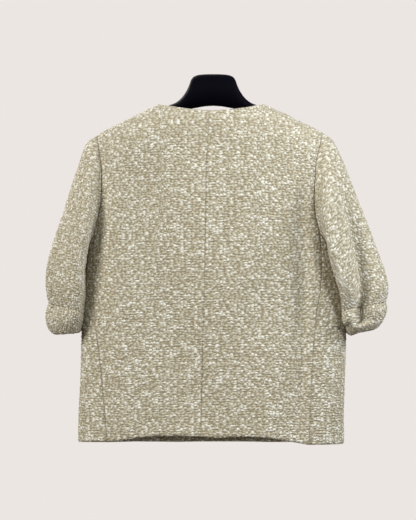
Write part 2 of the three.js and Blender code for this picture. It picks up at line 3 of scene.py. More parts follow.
import bpy
import numpy as np
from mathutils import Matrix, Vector


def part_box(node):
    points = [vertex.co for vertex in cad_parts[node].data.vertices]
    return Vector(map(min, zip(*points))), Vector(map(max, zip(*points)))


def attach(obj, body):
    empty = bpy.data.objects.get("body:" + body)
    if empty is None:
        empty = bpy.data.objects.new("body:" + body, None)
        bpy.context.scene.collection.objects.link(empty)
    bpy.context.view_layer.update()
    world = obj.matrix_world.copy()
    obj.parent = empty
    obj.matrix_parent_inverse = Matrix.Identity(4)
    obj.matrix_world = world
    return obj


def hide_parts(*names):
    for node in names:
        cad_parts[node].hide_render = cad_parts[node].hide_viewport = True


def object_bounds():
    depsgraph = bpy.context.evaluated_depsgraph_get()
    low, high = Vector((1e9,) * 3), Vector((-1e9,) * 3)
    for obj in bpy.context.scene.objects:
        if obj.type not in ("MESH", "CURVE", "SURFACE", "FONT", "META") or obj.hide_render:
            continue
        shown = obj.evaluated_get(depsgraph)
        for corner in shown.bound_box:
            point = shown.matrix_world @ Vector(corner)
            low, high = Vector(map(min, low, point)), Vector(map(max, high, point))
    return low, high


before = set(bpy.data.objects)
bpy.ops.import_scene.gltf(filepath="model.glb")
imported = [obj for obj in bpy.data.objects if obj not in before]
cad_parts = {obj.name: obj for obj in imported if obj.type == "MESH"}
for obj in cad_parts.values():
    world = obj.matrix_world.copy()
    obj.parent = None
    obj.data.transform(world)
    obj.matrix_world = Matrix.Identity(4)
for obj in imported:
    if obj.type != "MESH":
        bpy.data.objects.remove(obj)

bl_info = {
    "name": "Cropped Tweed Jacket",
    "version": (1, 0, 0),
    "blender": (4, 5, 0),
    "location": "View3D > Sidebar > Jacket",
    "description": "Makes a cropped boucle tweed jacket hanging on a moulded hanger",
    "category": "Object",
}

# The forms below repeat the solid model's own, in millimetres, apart from the soft cloth's
# deeper folds: DRAPE, and the first two folds of the right sleeve. +X is the wearer's left,
# +Y the wearer's back and +Z up, from the middle of the hanger's top.
MM = 0.001
CAD_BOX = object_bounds()
SIDES = ("left", "right")
SIGN = {"left": 1, "right": -1, "back": 1, "front": -1}

# ------------------------------------------------------------------ the jacket's form
WALL = 2.6
HALF_GAP = 0.02
SEAM_GAP = 0.04
SLEEVE_CLEARANCE = 2.2
SECTION_POWER = 2.6
SHOULDER_ROUND = 55
NECK_HALF_WIDTH = 87
NECK_POINT_Z = -51.5
FRONT_NECK_DROP = 62
FRONT_NECK_POWER = 2.6
FRONT_HEM_Z = -629
UNDERARM_DROP = 21
JUNCTION_Z = -270
WAIST_Z = -500  # where a panel's width is taken for its number of columns
SIDE_PANEL_WIDTH = 125
TUBE_LENGTHS = {"sleeve": 230, "cuff": 66}


def rows(names, *lines):
    """A table: each line holds one row's numbers, in the order of the column names."""
    return [dict(zip(names.split(), line)) for line in lines]


BODY_ROWS = rows(
    "z left right back front",
    (-60, 206, 199, 44, 46),
    (-110, 207, 200, 50, 52),
    (-200, 208, 202, 58, 60),
    (-290, 210, 208, 62, 64),
    (-350, 216, 218, 63, 66),
    (-404, 220, 227, 63, 66),
    (-450, 221, 227, 63, 66),
    (-520, 223, 225, 64, 66),
    (-580, 226, 223, 65, 67),
    (-640, 227, 224, 66, 68),
)
RIDGE_ROWS = rows(
    "x z",
    (0, -34),
    (40, -38),
    (70, -45.5),
    (87, -51.5),
    (120, -66),
    (157, -84.5),
    (178, -94.5),
    (197, -106),
    (215, -118),
)
BACK_NECK_ROWS = rows("x z", (0, -63), (28, -61.3), (53, -58), (73, -54), (87, -51.5))
BACK_HEM_ROWS = rows(
    "x z",
    (-224, -629),
    (-203, -630),
    (-165, -627),
    (-133, -621),
    (-92, -614),
    (-54, -612),
    (-9, -614),
    (38, -611),
    (89, -611),
    (114, -613),
    (143, -617),
    (182, -622),
    (226, -626),
)
CENTRE_ROWS = {
    "back": rows("z x", (-66, 5), (-163, 9), (-367, 13), (-440, 15), (-620, 19)),
    "front": rows("z x", (-113, 3), (-370, 6), (-630, 9)),
}
EDGE_ROWS = {
    "left": rows(
        "z x",
        (-105, 195),
        (-126, 192),
        (-145, 188.5),
        (-165, 186.5),
        (-208, 187),
        (-230, 190),
        (-270, 199),
        (-330, 202),
        (-404, 199),
        (-470, 191),
        (-522, 185),
        (-620, 176),
    ),
    "right": rows(
        "z x",
        (-101, 187),
        (-118, 183.5),
        (-137, 178.5),
        (-156, 175.5),
        (-192, 173),
        (-215, 172.5),
        (-245, 175.5),
        (-270, 182),
        (-330, 185),
        (-367, 182.5),
        (-418, 174.5),
        (-505, 168),
        (-620, 163),
    ),
}
FOLD_NAMES = "topX topZ midX midZ lowX lowZ width depth"
BODY_FOLDS = {
    "back": rows(
        FOLD_NAMES,
        (122, -150, 84, -345, 22, -600, 34, 6),
        (168, -175, 158, -400, 138, -650, 22, -4),
        (-152, -190, -153, -380, -149, -600, 15, 5),
        (-84, -430, -92, -540, -96, -690, 30, -4),
        (-70, -120, -64, -240, -52, -400, 26, -3),
    ),
    "front": rows(
        FOLD_NAMES,
        (-74, -170, -92, -380, -104, -650, 30, 6),
        (84, -190, 76, -400, 56, -640, 26, 5),
        (148, -210, 142, -420, 128, -660, 20, -4),
    ),
}
FOLD_FADE = 60
EDGE_FADE = 20
DRAPE = 1.5  # how much deeper the soft cloth's folds are than the solid's

SECTION_NAMES = "at outX outZ inX inZ half lean"
SLEEVE_ROWS = {
    "left": rows(
        SECTION_NAMES,
        (0, 195, -105, 212, -291, 45, 17),
        (0.1, 213, -119, 213, -298, 54, 16),
        (0.22, 224, -148, 214, -307, 60, 16),
        (0.36, 239, -192, 215, -322, 63, 16),
        (0.5, 253, -238, 216, -340, 64, 15),
        (0.64, 269, -284, 215, -358, 63, 16),
        (0.78, 280, -326, 214, -378, 61, 17),
        (0.9, 282, -360, 216, -396, 57, 16),
        (1, 277, -390, 218, -409, 51, 15),
    ),
    "right": rows(
        SECTION_NAMES,
        (0, 187, -101, 206, -291, 44, 24),
        (0.1, 205, -115, 207, -297, 54, 26),
        (0.22, 222, -148, 208, -307, 62, 30),
        (0.36, 242, -195, 210, -322, 66, 32),
        (0.5, 261, -244, 211, -340, 67, 32),
        (0.64, 278, -292, 214, -358, 66, 29),
        (0.78, 293, -333, 219, -376, 63, 25),
        (0.9, 299, -364, 223, -392, 58, 22),
        (1, 295, -388, 226, -404, 52, 20),
    ),
}
CUFF_ROWS = {
    "left": rows(
        SECTION_NAMES,
        (0, 277, -391, 218, -409, 51, 15),
        (0.2, 281, -402, 218, -415, 53, 15),
        (0.5, 282, -417, 219, -423, 51, 13),
        (0.75, 277, -433, 221, -432, 43, 9),
        (0.9, 269, -441, 225, -438, 36, 6),
        (1, 261, -442, 231, -439, 31, 3),
    ),
    "right": rows(
        SECTION_NAMES,
        (0, 295, -389, 226, -404, 52, 20),
        (0.2, 297, -398, 226, -413, 54, 20),
        (0.5, 294, -411, 226.5, -427, 51, 17),
        (0.75, 286, -425, 229, -438, 43, 12),
        (0.9, 276, -433, 234, -443, 36, 8),
        (1, 266, -435, 240, -443, 31, 4),
    ),
}
# Folds down a sleeve: their turn in degrees from the outer edge towards the back, at the
# shoulder and at the cuff. outer and inner are the spreads on each flank of the fold.
SLEEVE_FOLD_NAMES = "topTurn lowTurn bend outer inner depth start end"
SLEEVE_FOLDS = {
    "left": rows(
        SLEEVE_FOLD_NAMES,
        (26, 34, 1, 9, 8, 7, 0.45, 1.45),
        (80, 100, 1, 24, 20, -4, 0.15, 1.3),
        (285, 300, 1, 12, 12, 4, 0.4, 1.4),
    ),
    "right": rows(
        SLEEVE_FOLD_NAMES,
        (28, 95, 1.5, 30, 7, 29, 0.22, 1.7),
        (75, 130, 1.5, 24, 16, -11, 0.05, 1.6),
        (290, 275, 1, 12, 12, 5, 0.4, 1.4),
    ),
}
SLEEVE_FOLD_FADE = 0.22
ARMHOLE_BLEND = 0.4
CUFF_BLEND = 0.6

HANGER_SHIFT = -2
ARM_REACH = 178
ARM_CLEARANCE = 0.9
TIP_LENGTH = 14
TIP_RADIUS = 20
NECK_CORNER = (30, 48)  # from here to here along the hanger, the sections are closer together
HANGER_ROWS = rows(
    "x top bottom half",
    (0, 0, -54, 22),
    (14, -0.3, -55, 22),
    (26, -1.6, -57, 22),
    (34, -5, -58.5, 21.5),
    (38, -10.5, -59.5, 21),
    (41, -19, -60, 20.5),
    (46, -29.5, -61.5, 20),
    (54, -40.5, -64, 19.5),
    (63, -48, -67, 17.5),
    (73, -52.3, -71, 15.5),
    (88, -56.6, -78, 11.5),
)
ARM_ROWS = rows(
    "x deep half",
    (88, 21.5, 11.5),
    (120, 22, 12.5),
    (140, 21, 12.5),
    (160, 18, 10),
    (172, 13, 7),
    (178, 6, 4),
)


# ------------------------------------------------------------------ numbers and tables
def smooth(low, high, value):
    part = np.clip((value - low) / (high - low), 0, 1)
    return part * part * (3 - 2 * part)


def track(table, key, column):
    """A smooth curve through one column of a table, along its key column."""
    lines = sorted(table, key=lambda line: line[key])
    places = np.array([line[key] for line in lines], dtype=float)
    values = np.array([line[column] for line in lines], dtype=float)
    before = np.maximum(np.arange(len(lines)) - 1, 0)
    after = np.minimum(np.arange(len(lines)) + 1, len(lines) - 1)
    slopes = (values[after] - values[before]) / (places[after] - places[before])

    def curve(at):
        at = np.clip(np.asarray(at, dtype=float), places[0], places[-1])
        index = np.clip(np.searchsorted(places, at, side="right") - 1, 0, len(places) - 2)
        span = places[index + 1] - places[index]
        part = (at - places[index]) / span
        square = part**2
        cube = part**3
        return (
            (2 * cube - 3 * square + 1) * values[index]
            + (cube - 2 * square + part) * span * slopes[index]
            + (3 * square - 2 * cube) * values[index + 1]
            + (cube - square) * span * slopes[index + 1]
        )

    return curve


half_width = {side: track(BODY_ROWS, "z", side) for side in SIDES}
half_depth = {face: track(BODY_ROWS, "z", face) for face in ("back", "front")}
ridge_line = track(RIDGE_ROWS, "x", "z")
back_neck = track(BACK_NECK_ROWS, "x", "z")
back_hem = track(BACK_HEM_ROWS, "x", "z")
centre_line = {face: track(CENTRE_ROWS[face], "z", "x") for face in CENTRE_ROWS}
outer_edge = {side: track(EDGE_ROWS[side], "z", "x") for side in SIDES}


# ------------------------------------------------------------------ the body's surface
def ridge(x):
    return ridge_line(np.abs(x))


def by_side(function, x, z):
    return np.where(x > 0, function["left"](z), function["right"](z))


def fold_depth(folds, x, z):
    total = np.zeros(np.broadcast(x, z).shape)
    for fold in folds:
        length = fold["topZ"] - fold["lowZ"]
        down = (fold["topZ"] - z) / length
        middle = (fold["topZ"] - fold["midZ"]) / length
        to_middle = down * (down - 1) / (middle * (middle - 1))
        to_low = down * (down - middle) / (1 - middle)
        to_top = (down - middle) * (down - 1) / middle
        centre = fold["topX"] * to_top + fold["midX"] * to_middle + fold["lowX"] * to_low
        start = smooth(fold["topZ"] + FOLD_FADE, fold["topZ"] - FOLD_FADE, z)
        tail = smooth(fold["lowZ"] - FOLD_FADE, fold["lowZ"] + FOLD_FADE, z)
        total += fold["depth"] * start * tail * np.exp(-(((x - centre) / fold["width"]) ** 2))
    return total


def body_depth(x, z, face):
    """How far the cloth stands from the middle plane at a place on the back or front."""
    across = np.clip(np.abs(x) / by_side(half_width, x, z), 0, 1)
    plan = (1 - across**SECTION_POWER) ** (1 / SECTION_POWER)
    rise = np.clip(1 - (ridge(x) - z) / SHOULDER_ROUND, 0, 1)
    turn = np.sqrt(1 - rise**2)
    fade = smooth(0, EDGE_FADE, by_side(outer_edge, x, z) - np.abs(x))
    return turn * (plan * half_depth[face](z) - fade * DRAPE * fold_depth(BODY_FOLDS[face], x, z))


def side_reach(side, y, z):
    """How far out the side of the body stands, at a distance from its middle plane."""
    deep = np.where(y > 0, half_depth["back"](z), half_depth["front"](z))
    part = np.clip((np.abs(y) - HALF_GAP) / deep, 0, 1)
    return half_width[side](z) * (1 - part**SECTION_POWER) ** (1 / SECTION_POWER)


def panel_top(x, face):
    out = np.abs(x)
    if face == "back":
        neck = back_neck(out)
    else:
        part = np.clip(out / NECK_HALF_WIDTH, 0, 1)
        neck = NECK_POINT_Z - FRONT_NECK_DROP * (1 - part**FRONT_NECK_POWER)
    return np.where(out >= NECK_HALF_WIDTH, ridge(x), neck)


LOWEST_TOP_Z = -200.0
HALVINGS = 40


def panel_x(side, face, across, z):
    centre = centre_line[face](z) + SIGN[side] * HALF_GAP
    edge = SIGN[side] * (outer_edge[side](z) - HALF_GAP)
    return centre + (edge - centre) * across


def column_top(side, face, across):
    """Height of a panel's top edge at parts of its width, by halving a span that holds it."""
    low = np.full(across.shape, LOWEST_TOP_Z)
    high = np.zeros(across.shape)
    for _ in range(HALVINGS):
        middle = (low + high) / 2
        above = middle > panel_top(panel_x(side, face, across, middle), face)
        high = np.where(above, middle, high)
        low = np.where(above, low, middle)
    return low


def column_hem(side, face, across):
    x = panel_x(side, face, across, FRONT_HEM_Z)
    return back_hem(x) if face == "back" else np.full(across.shape, float(FRONT_HEM_Z))


# ------------------------------------------------------------------ grids of cloth
DENSE = 500  # points along a line before it is divided evenly
FLANK_POINTS = 60  # points down one side of an armhole
UNDER_POINTS = 41  # points under the arm, the two ends among them


def lengths_along(points, axis):
    """Distance run along each line of a grid of points."""
    steps = np.linalg.norm(np.diff(points, axis=axis), axis=2)
    start = np.zeros_like(np.take(steps, [0], axis=axis))
    return np.concatenate([start, np.cumsum(steps, axis=axis)], axis=axis)


def divide_evenly(points, count):
    """The grid's columns divided again into rows of even length."""
    runs = lengths_along(points, 0)
    result = np.empty((count, points.shape[1], 3))
    for column in range(points.shape[1]):
        wanted = np.linspace(0, runs[-1, column], count)
        for axis in range(3):
            result[:, column, axis] = np.interp(wanted, runs[:, column], points[:, column, axis])
    return result


def steps_for(length, step, inner_every):
    """A number of steps for a length that the lining-side grid divides evenly."""
    return max(int(round(length / step / inner_every)), 1) * inner_every


def panel_surface(side, face, step, inner_every):
    width = float(outer_edge[side](WAIST_Z))
    columns = steps_for(width, step, inner_every) + 1
    across = np.linspace(0, 1, columns)
    top = column_top(side, face, across)
    hem = column_hem(side, face, across)
    part = np.linspace(0, 1, DENSE)[:, None]
    z = top - (top - hem) * (1 - part) ** 2
    x = panel_x(side, face, across[None, :], z)
    y = SIGN[face] * (body_depth(x, z, face) + HALF_GAP)
    dense = np.stack([x, y, z], axis=2)
    height = lengths_along(dense, 0)[-1].mean()
    points = divide_evenly(dense, steps_for(height, step, inner_every) + 1)
    s = lengths_along(points, 1) * SIGN[side] + points[:, :1, 0]
    t = lengths_along(points, 0) + points[:1, :, 2]
    return points, s, t


def side_points(side, part, z):
    """Places on a side panel: part runs from 1 at its back seam to -1 at its front one."""
    seam_x = SIGN[side] * (outer_edge[side](z) + HALF_GAP)
    depth = np.where(part > 0, body_depth(seam_x, z, "back"), body_depth(seam_x, z, "front"))
    y = part * (depth + HALF_GAP)
    return np.stack([SIGN[side] * side_reach(side, y, z), y, z], axis=2)


def side_surface(side, step, inner_every):
    columns = steps_for(SIDE_PANEL_WIDTH, step, inner_every) + 1
    part = np.linspace(1, -1, columns)[None, :]
    back = float(column_hem(side, "back", np.array([1.0]))[0])
    hem = back + (FRONT_HEM_Z - back) * (1 - part) / 2
    top = JUNCTION_Z - UNDERARM_DROP * (1 - part**2)
    count = steps_for(float((top - hem).mean()), step, inner_every) + 1
    z = hem + (top - hem) * np.linspace(0, 1, count)[:, None]
    points = side_points(side, np.broadcast_to(part, z.shape), z)
    s = lengths_along(points, 1)
    t = lengths_along(points, 0) + points[:1, :, 2]
    return points, s, t


def normals_of(points, all_round):
    """Outward directions at each point of a grid."""
    if all_round:
        around = np.roll(points, -1, axis=1) - np.roll(points, 1, axis=1)
    else:
        around = np.gradient(points, axis=1)
    along = np.gradient(points, axis=0)
    normals = np.cross(around, along)
    return normals / np.maximum(np.linalg.norm(normals, axis=2, keepdims=True), 1e-9)


def armhole_loop(side):
    """The armhole's edge, from the shoulder down the back, under the arm and up the front."""
    one = np.array([1.0])
    top = float(column_top(side, "back", one)[0])
    z = (top - (top - JUNCTION_Z) * np.linspace(0, 1, FLANK_POINTS) ** 2)[:, None]
    flanks = {}
    for face in ("back", "front"):
        x = panel_x(side, face, 1.0, z)
        y = SIGN[face] * (body_depth(x, z, face) + HALF_GAP)
        flanks[face] = np.stack([x, y, z], axis=2)[:, 0]
    part = np.linspace(1, -1, UNDER_POINTS)[None, 1:-1]
    under = side_points(side, part, JUNCTION_Z - UNDERARM_DROP * (1 - part**2))[0]
    loop = np.concatenate([flanks["back"], under, flanks["front"][::-1][:-1]])
    halfway = FLANK_POINTS + (UNDER_POINTS - 2) // 2
    return loop, halfway


def body_normals(points):
    """Outward directions of the body's own surface at points on it."""
    step = 0.4

    def level(x, y, z):
        depth = np.where(y > 0, body_depth(x, z, "back"), body_depth(x, z, "front"))
        return np.maximum(np.abs(y) - HALF_GAP, 0) ** 2 - depth**2

    x, y, z = points.T
    slopes = np.stack(
        [
            level(x + step, y, z) - level(x - step, y, z),
            level(x, y + step, z) - level(x, y - step, z),
            level(x, y, z + step) - level(x, y, z - step),
        ],
        axis=1,
    )
    return slopes / np.linalg.norm(slopes, axis=1, keepdims=True)


def sleeve_start(side, columns):
    """The sleeve's first ring, each point's turn, and its way out along the sleeve."""
    loop, halfway = armhole_loop(side)
    normal = body_normals(loop)
    along = np.roll(loop, -1, axis=0) - np.roll(loop, 1, axis=0)
    away = np.cross(along, normal) * SIGN[side]
    away /= np.linalg.norm(away, axis=1, keepdims=True)
    start = loop + SEAM_GAP * (away + normal)
    closed = np.concatenate([start, start[:1]])
    runs = np.concatenate([[0], np.cumsum(np.linalg.norm(np.diff(closed, axis=0), axis=1))])
    half, whole = runs[halfway], runs[-1]
    turns = np.where(runs <= half, math.pi * runs / half, math.pi * (1 + (runs - half) / (whole - half)))
    wanted = (math.pi + np.linspace(0, 2 * math.pi, columns + 1)[:-1]) % (2 * math.pi)

    def at_wanted(values):
        return np.stack([np.interp(wanted, turns, values[:, axis]) for axis in range(3)], axis=1)

    directions = at_wanted(np.concatenate([away, away[:1]]))
    directions /= np.linalg.norm(directions, axis=1, keepdims=True)
    return at_wanted(closed), wanted, directions


def section_points(table, side, at, turn):
    """Places round a sleeve's sections: the turn is 0 at the outer edge, 180 at the inner."""
    value = {name: track(table, "at", name)(at) for name in SECTION_NAMES.split()[1:]}
    swing = (1 + np.cos(turn)) / 2
    x = value["inX"] + (value["outX"] - value["inX"]) * swing - value["lean"] * np.sin(turn) ** 2
    z = value["inZ"] + (value["outZ"] - value["inZ"]) * swing
    y = value["half"] * np.sin(turn)
    return np.stack(np.broadcast_arrays(SIGN[side] * x, y, z), axis=-1)


def sleeve_fold(folds, at, turn):
    total = np.zeros(np.broadcast(at, turn).shape)
    for fold in folds:
        low = np.clip(at, 0, 1) ** fold["bend"]
        centre = fold["topTurn"] + (fold["lowTurn"] - fold["topTurn"]) * low
        apart = (np.degrees(turn) - centre + 540) % 360 - 180
        spread = np.where(apart > 0, fold["inner"], fold["outer"])
        start = smooth(fold["start"], fold["start"] + SLEEVE_FOLD_FADE, at)
        tail = 1 - smooth(fold["end"] - SLEEVE_FOLD_FADE, fold["end"], at)
        total += fold["depth"] * start * tail * np.exp(-((apart / spread) ** 2))
    return total


def clear_of_body(points, side):
    """Moves a sleeve's points out where they would lie in the side of the body."""
    x, y, z = (points[..., axis] for axis in range(3))
    least = side_reach(side, y, z) + SLEEVE_CLEARANCE
    deep = np.where(y > 0, half_depth["back"](z), half_depth["front"](z))
    low = (z <= JUNCTION_Z) & (np.abs(y) < deep)
    out = SIGN[side] * x
    points[..., 0] = SIGN[side] * np.where(low & (out < least), least, out)
    return points


def tube_points(table, side, start, turns, folds, blend, fold_shift, rings):
    """A sleeve or cuff, which leaves its first ring and takes up its own sections and folds."""
    at = np.linspace(0, 1, rings)[:, None]
    turn = turns[None, :]
    plain = section_points(table, side, at, turn)
    outer = section_points(table, side, at, np.zeros_like(turn))
    inner = section_points(table, side, at, np.full_like(turn, math.pi))
    radial = plain - (outer + inner) / 2
    radial /= np.linalg.norm(radial, axis=2, keepdims=True)
    keep = ((1 - np.clip(at / blend, 0, 1)) ** 2)[..., None]
    fold = sleeve_fold(folds, at + fold_shift, turn)[..., None] * (1 - keep)
    points = plain - radial * fold + keep * (start - plain[0])[None]
    points[1:] = clear_of_body(points[1:], side)
    return points


def tube_surface(points, rings, s_around, from_top):
    """Rings divided evenly, with the cloth's own measure round and along the tube."""
    even = divide_evenly(points, rings)
    s = np.linspace(0, s_around, points.shape[1] + 1)[None, :] * np.ones((rings, 1))
    runs = lengths_along(even, 0)
    t = runs if from_top else runs - runs[-1]
    t = np.concatenate([t, t[:, :1]], axis=1)
    return even, s, t


# ------------------------------------------------------------------ the weave
CHANCE_GAIN = 43758.5453  # large, so that the fraction of a sine times it looks random
WEAVE_ROWS = 5  # rows of yarn before the thick and thin ones come round again
LONG_YARN_ROWS = 5  # rows of nubs from one long smooth yarn to the next
LONG_YARN_HALF = 0.95
NUB_TILT = 0.6
# How far the yarn wanders off its row, over what distance, and the salt of its chance.
SLOW_WANDER = (1.3, 17, 31)
QUICK_WANDER = (0.7, 6, 32)
SIDE_WANDER = (1.8, 11, 33)
# Nubs of each kind: their pitch along a row and from row to row, their half length and half
# width, all in parts of a nub's length and a row's height, and the salt of their chance.
THICK_NUBS = (0.85, 1, 0.42, 0.36, 1)
THIN_NUBS = (0.52, 0.6, 0.26, 0.27, 11)
BIG_LUMPS = (3.4, 2.4, 21)  # half length and half width in millimetres, and the salt
# How high the thin nubs, the big lumps, the long yarns and the fuzz stand by the thick nubs.
THIN_NUB = 0.4
LUMP = 0.6
LONG_YARN = 0.8
FUZZ = 0.16
FUZZ_GRAIN = (2.3, 34)  # its scale in millimetres, and the salt of its chance
LONG_YARN_SHOWS = (0.55, 0.72)  # the noise over which a long yarn comes up out of the weave


def chance(row, place, salt):
    """A random number from 0 to 1 for each place in a lattice, the same every time."""
    return np.modf(np.abs(np.sin(row * 127.1 + place * 311.7 + salt * 74.7)) * CHANCE_GAIN)[0]


def soft_noise(s, t, scale, salt):
    """Random values from 0 to 1 that change smoothly over the flat cloth."""
    across, down = s / scale, t / scale
    column, row = np.floor(across), np.floor(down)
    across, down = smooth(0, 1, across - column), smooth(0, 1, down - row)
    low = chance(row, column, salt) * (1 - across) + chance(row, column + 1, salt) * across
    high = chance(row + 1, column, salt) * (1 - across) + chance(row + 1, column + 1, salt) * across
    return low * (1 - down) + high * down


def wander(s, t, reach, scale, salt):
    return reach * (soft_noise(s, t, scale, salt) - 0.5)


def lumps(s, t, length, pitch, long, wide, salt):
    """Rounded lumps of yarn in uneven rows: how high they are, and each one's own shade."""
    height = np.zeros(s.shape)
    shade = np.zeros(s.shape)
    for row_step in (-1, 0, 1):
        row = np.floor(t / pitch) + row_step
        shift = chance(row, 3.0, salt)
        for nub_step in (-1, 0, 1):
            nub = np.floor(s / length + shift) + nub_step
            luck = [chance(row, nub, salt + number) for number in range(1, 7)]
            across = s - (nub + 0.5 + 0.55 * (luck[0] - 0.5) - shift) * length
            down = t - (row + 0.5 + 0.36 * (luck[1] - 0.5)) * pitch
            tilt = NUB_TILT * (luck[4] - 0.5)
            far = ((across + tilt * down) / (long * (0.65 + 0.7 * luck[2]))) ** 2
            far += ((down - tilt * across * 0.6) / (wide * (0.7 + 0.6 * luck[3]))) ** 2
            dome = np.sqrt(np.clip(1 - far, 0, 1)) * (0.5 + 0.5 * luck[5])
            shade = np.where(dome > height, luck[5], shade)
            height = np.maximum(height, dome)
    return height, shade


def weave(s, t, cloth):
    """The tweed at places on the flat cloth: its relief from 0 up, its shade and its slubs."""
    pitch = cloth.row_pitch / MM
    length = cloth.nub_length / MM
    spacing = cloth.lump_spacing / MM
    t = t + wander(s, t, *SLOW_WANDER) + wander(s, t, *QUICK_WANDER)
    s = s + wander(s, t, *SIDE_WANDER)

    def nubs_of(along, down, long, wide, salt):
        return lumps(s, t, length * along, pitch * down, length * long, pitch * wide, salt)

    nubs, shade = nubs_of(*THICK_NUBS)
    small, small_shade = nubs_of(*THIN_NUBS)
    slubs, _ = lumps(s, t, spacing, spacing * 0.7, *BIG_LUMPS)
    row = np.floor(t / pitch)
    thick = 0.8 + 0.2 * np.cos(row * 4 * math.pi / WEAVE_ROWS)
    shade = np.where(small > nubs, small_shade, shade)
    height = np.maximum(nubs * thick, small * THIN_NUB) + FUZZ * soft_noise(s, t, *FUZZ_GRAIN)
    long_pitch = pitch * LONG_YARN_ROWS
    course = np.floor(t / long_pitch)
    off = t - (course + 0.3 + 0.4 * chance(course, 5.0, 41)) * long_pitch
    there = smooth(*LONG_YARN_SHOWS, soft_noise(s, course * 37.0, 38, 42))
    yarn = np.exp(-((off / LONG_YARN_HALF) ** 2)) * there
    height = np.maximum(height, LONG_YARN * yarn)
    return height + LUMP * slubs, shade, np.maximum(LUMP * slubs, 0.15 * yarn)


# ------------------------------------------------------------------ shader sums
class Number:
    """A number in a material: sums on it add Math nodes."""

    def __init__(self, shade, socket):
        self.shade = shade
        self.socket = socket

    def sum(self, operation, *others, turned=False):
        values = [self, *others]
        if turned:
            values = values[::-1]
        node = self.shade.node("ShaderNodeMath", {"operation": operation}, dict(enumerate(values)))
        return Number(self.shade, node.outputs[0])

    def __add__(self, other):
        return self.sum("ADD", other)

    __radd__ = __add__

    def __sub__(self, other):
        return self.sum("SUBTRACT", other)

    def __rsub__(self, other):
        return self.sum("SUBTRACT", other, turned=True)

    def __mul__(self, other):
        return self.sum("MULTIPLY", other)

    __rmul__ = __mul__

    def cosine(self):
        return self.sum("COSINE")

    def ease(self, low, high):
        """0 below low, 1 above high, and a smooth step between them."""
        settings = {"interpolation_type": "SMOOTHSTEP"}
        span = {"Value": self, "From Min": low, "From Max": high}
        return self.shade.number("ShaderNodeMapRange", settings, span, "Result")


class Tree:
    """Adds nodes to a tree: each has a type, its settings, and values or links for its sockets."""

    def __init__(self, tree):
        self.tree = tree

    def node(self, kind, settings, inputs):
        made = self.tree.nodes.new(kind)
        for name, value in settings.items():
            setattr(made, name, value)
        for name, value in inputs.items():
            self.feed(made.inputs[name], value)
        return made

    def feed(self, socket, value):
        if isinstance(value, Number):
            value = value.socket
        if isinstance(value, bpy.types.NodeSocket):
            self.tree.links.new(value, socket)
        else:
            socket.default_value = value

    def number(self, kind, settings, inputs, output=0):
        return Number(self, self.node(kind, settings, inputs).outputs[output])


class Shade(Tree):
    """Makes the nodes of one material."""

    def __init__(self, name):
        self.material = bpy.data.materials.new(name)
        self.material.use_nodes = True
        super().__init__(self.material.node_tree)
        self.tree.nodes.clear()
        out = self.node("ShaderNodeOutputMaterial", {}, {})
        self.surface = self.node("ShaderNodeBsdfPrincipled", {}, {})
        self.feed(out.inputs["Surface"], self.surface.outputs[0])

    def noise(self, place, scale, detail):
        return self.number("ShaderNodeTexNoise", {}, {"Vector": place, "Scale": scale, "Detail": detail})

    def bump(self, strength, distance, height):
        inputs = {"Strength": strength, "Distance": distance, "Height": height}
        return self.node("ShaderNodeBump", {}, inputs).outputs["Normal"]

    def here(self):
        return self.node("ShaderNodeTexCoord", {}, {}).outputs["Object"]

    def mix(self, factor, one, other):
        """One colour turned into the other by a factor: a Mix node's sockets 6 and 7 are colours."""
        node = self.node("ShaderNodeMix", {"data_type": "RGBA"}, {"Factor": factor, 6: one, 7: other})
        return node.outputs[2]

    def finish(self, **inputs):
        for name, value in inputs.items():
            self.feed(self.surface.inputs[name.replace("_", " ")], value)
        return self.material


def colour(value):
    return (*value, 1.0)


YARN_BEND = (0.0034, 0.0034, 0.0)  # how far noise moves the weave's lattice
NUB_ROUND = (0.05, 0.62)  # from a nub's flat middle to its foot, in parts of the lattice
BUMP_DEPTH = 0.0026
FIBRE_DEPTH = 0.0004
GRAIN_DEPTH = 0.0002


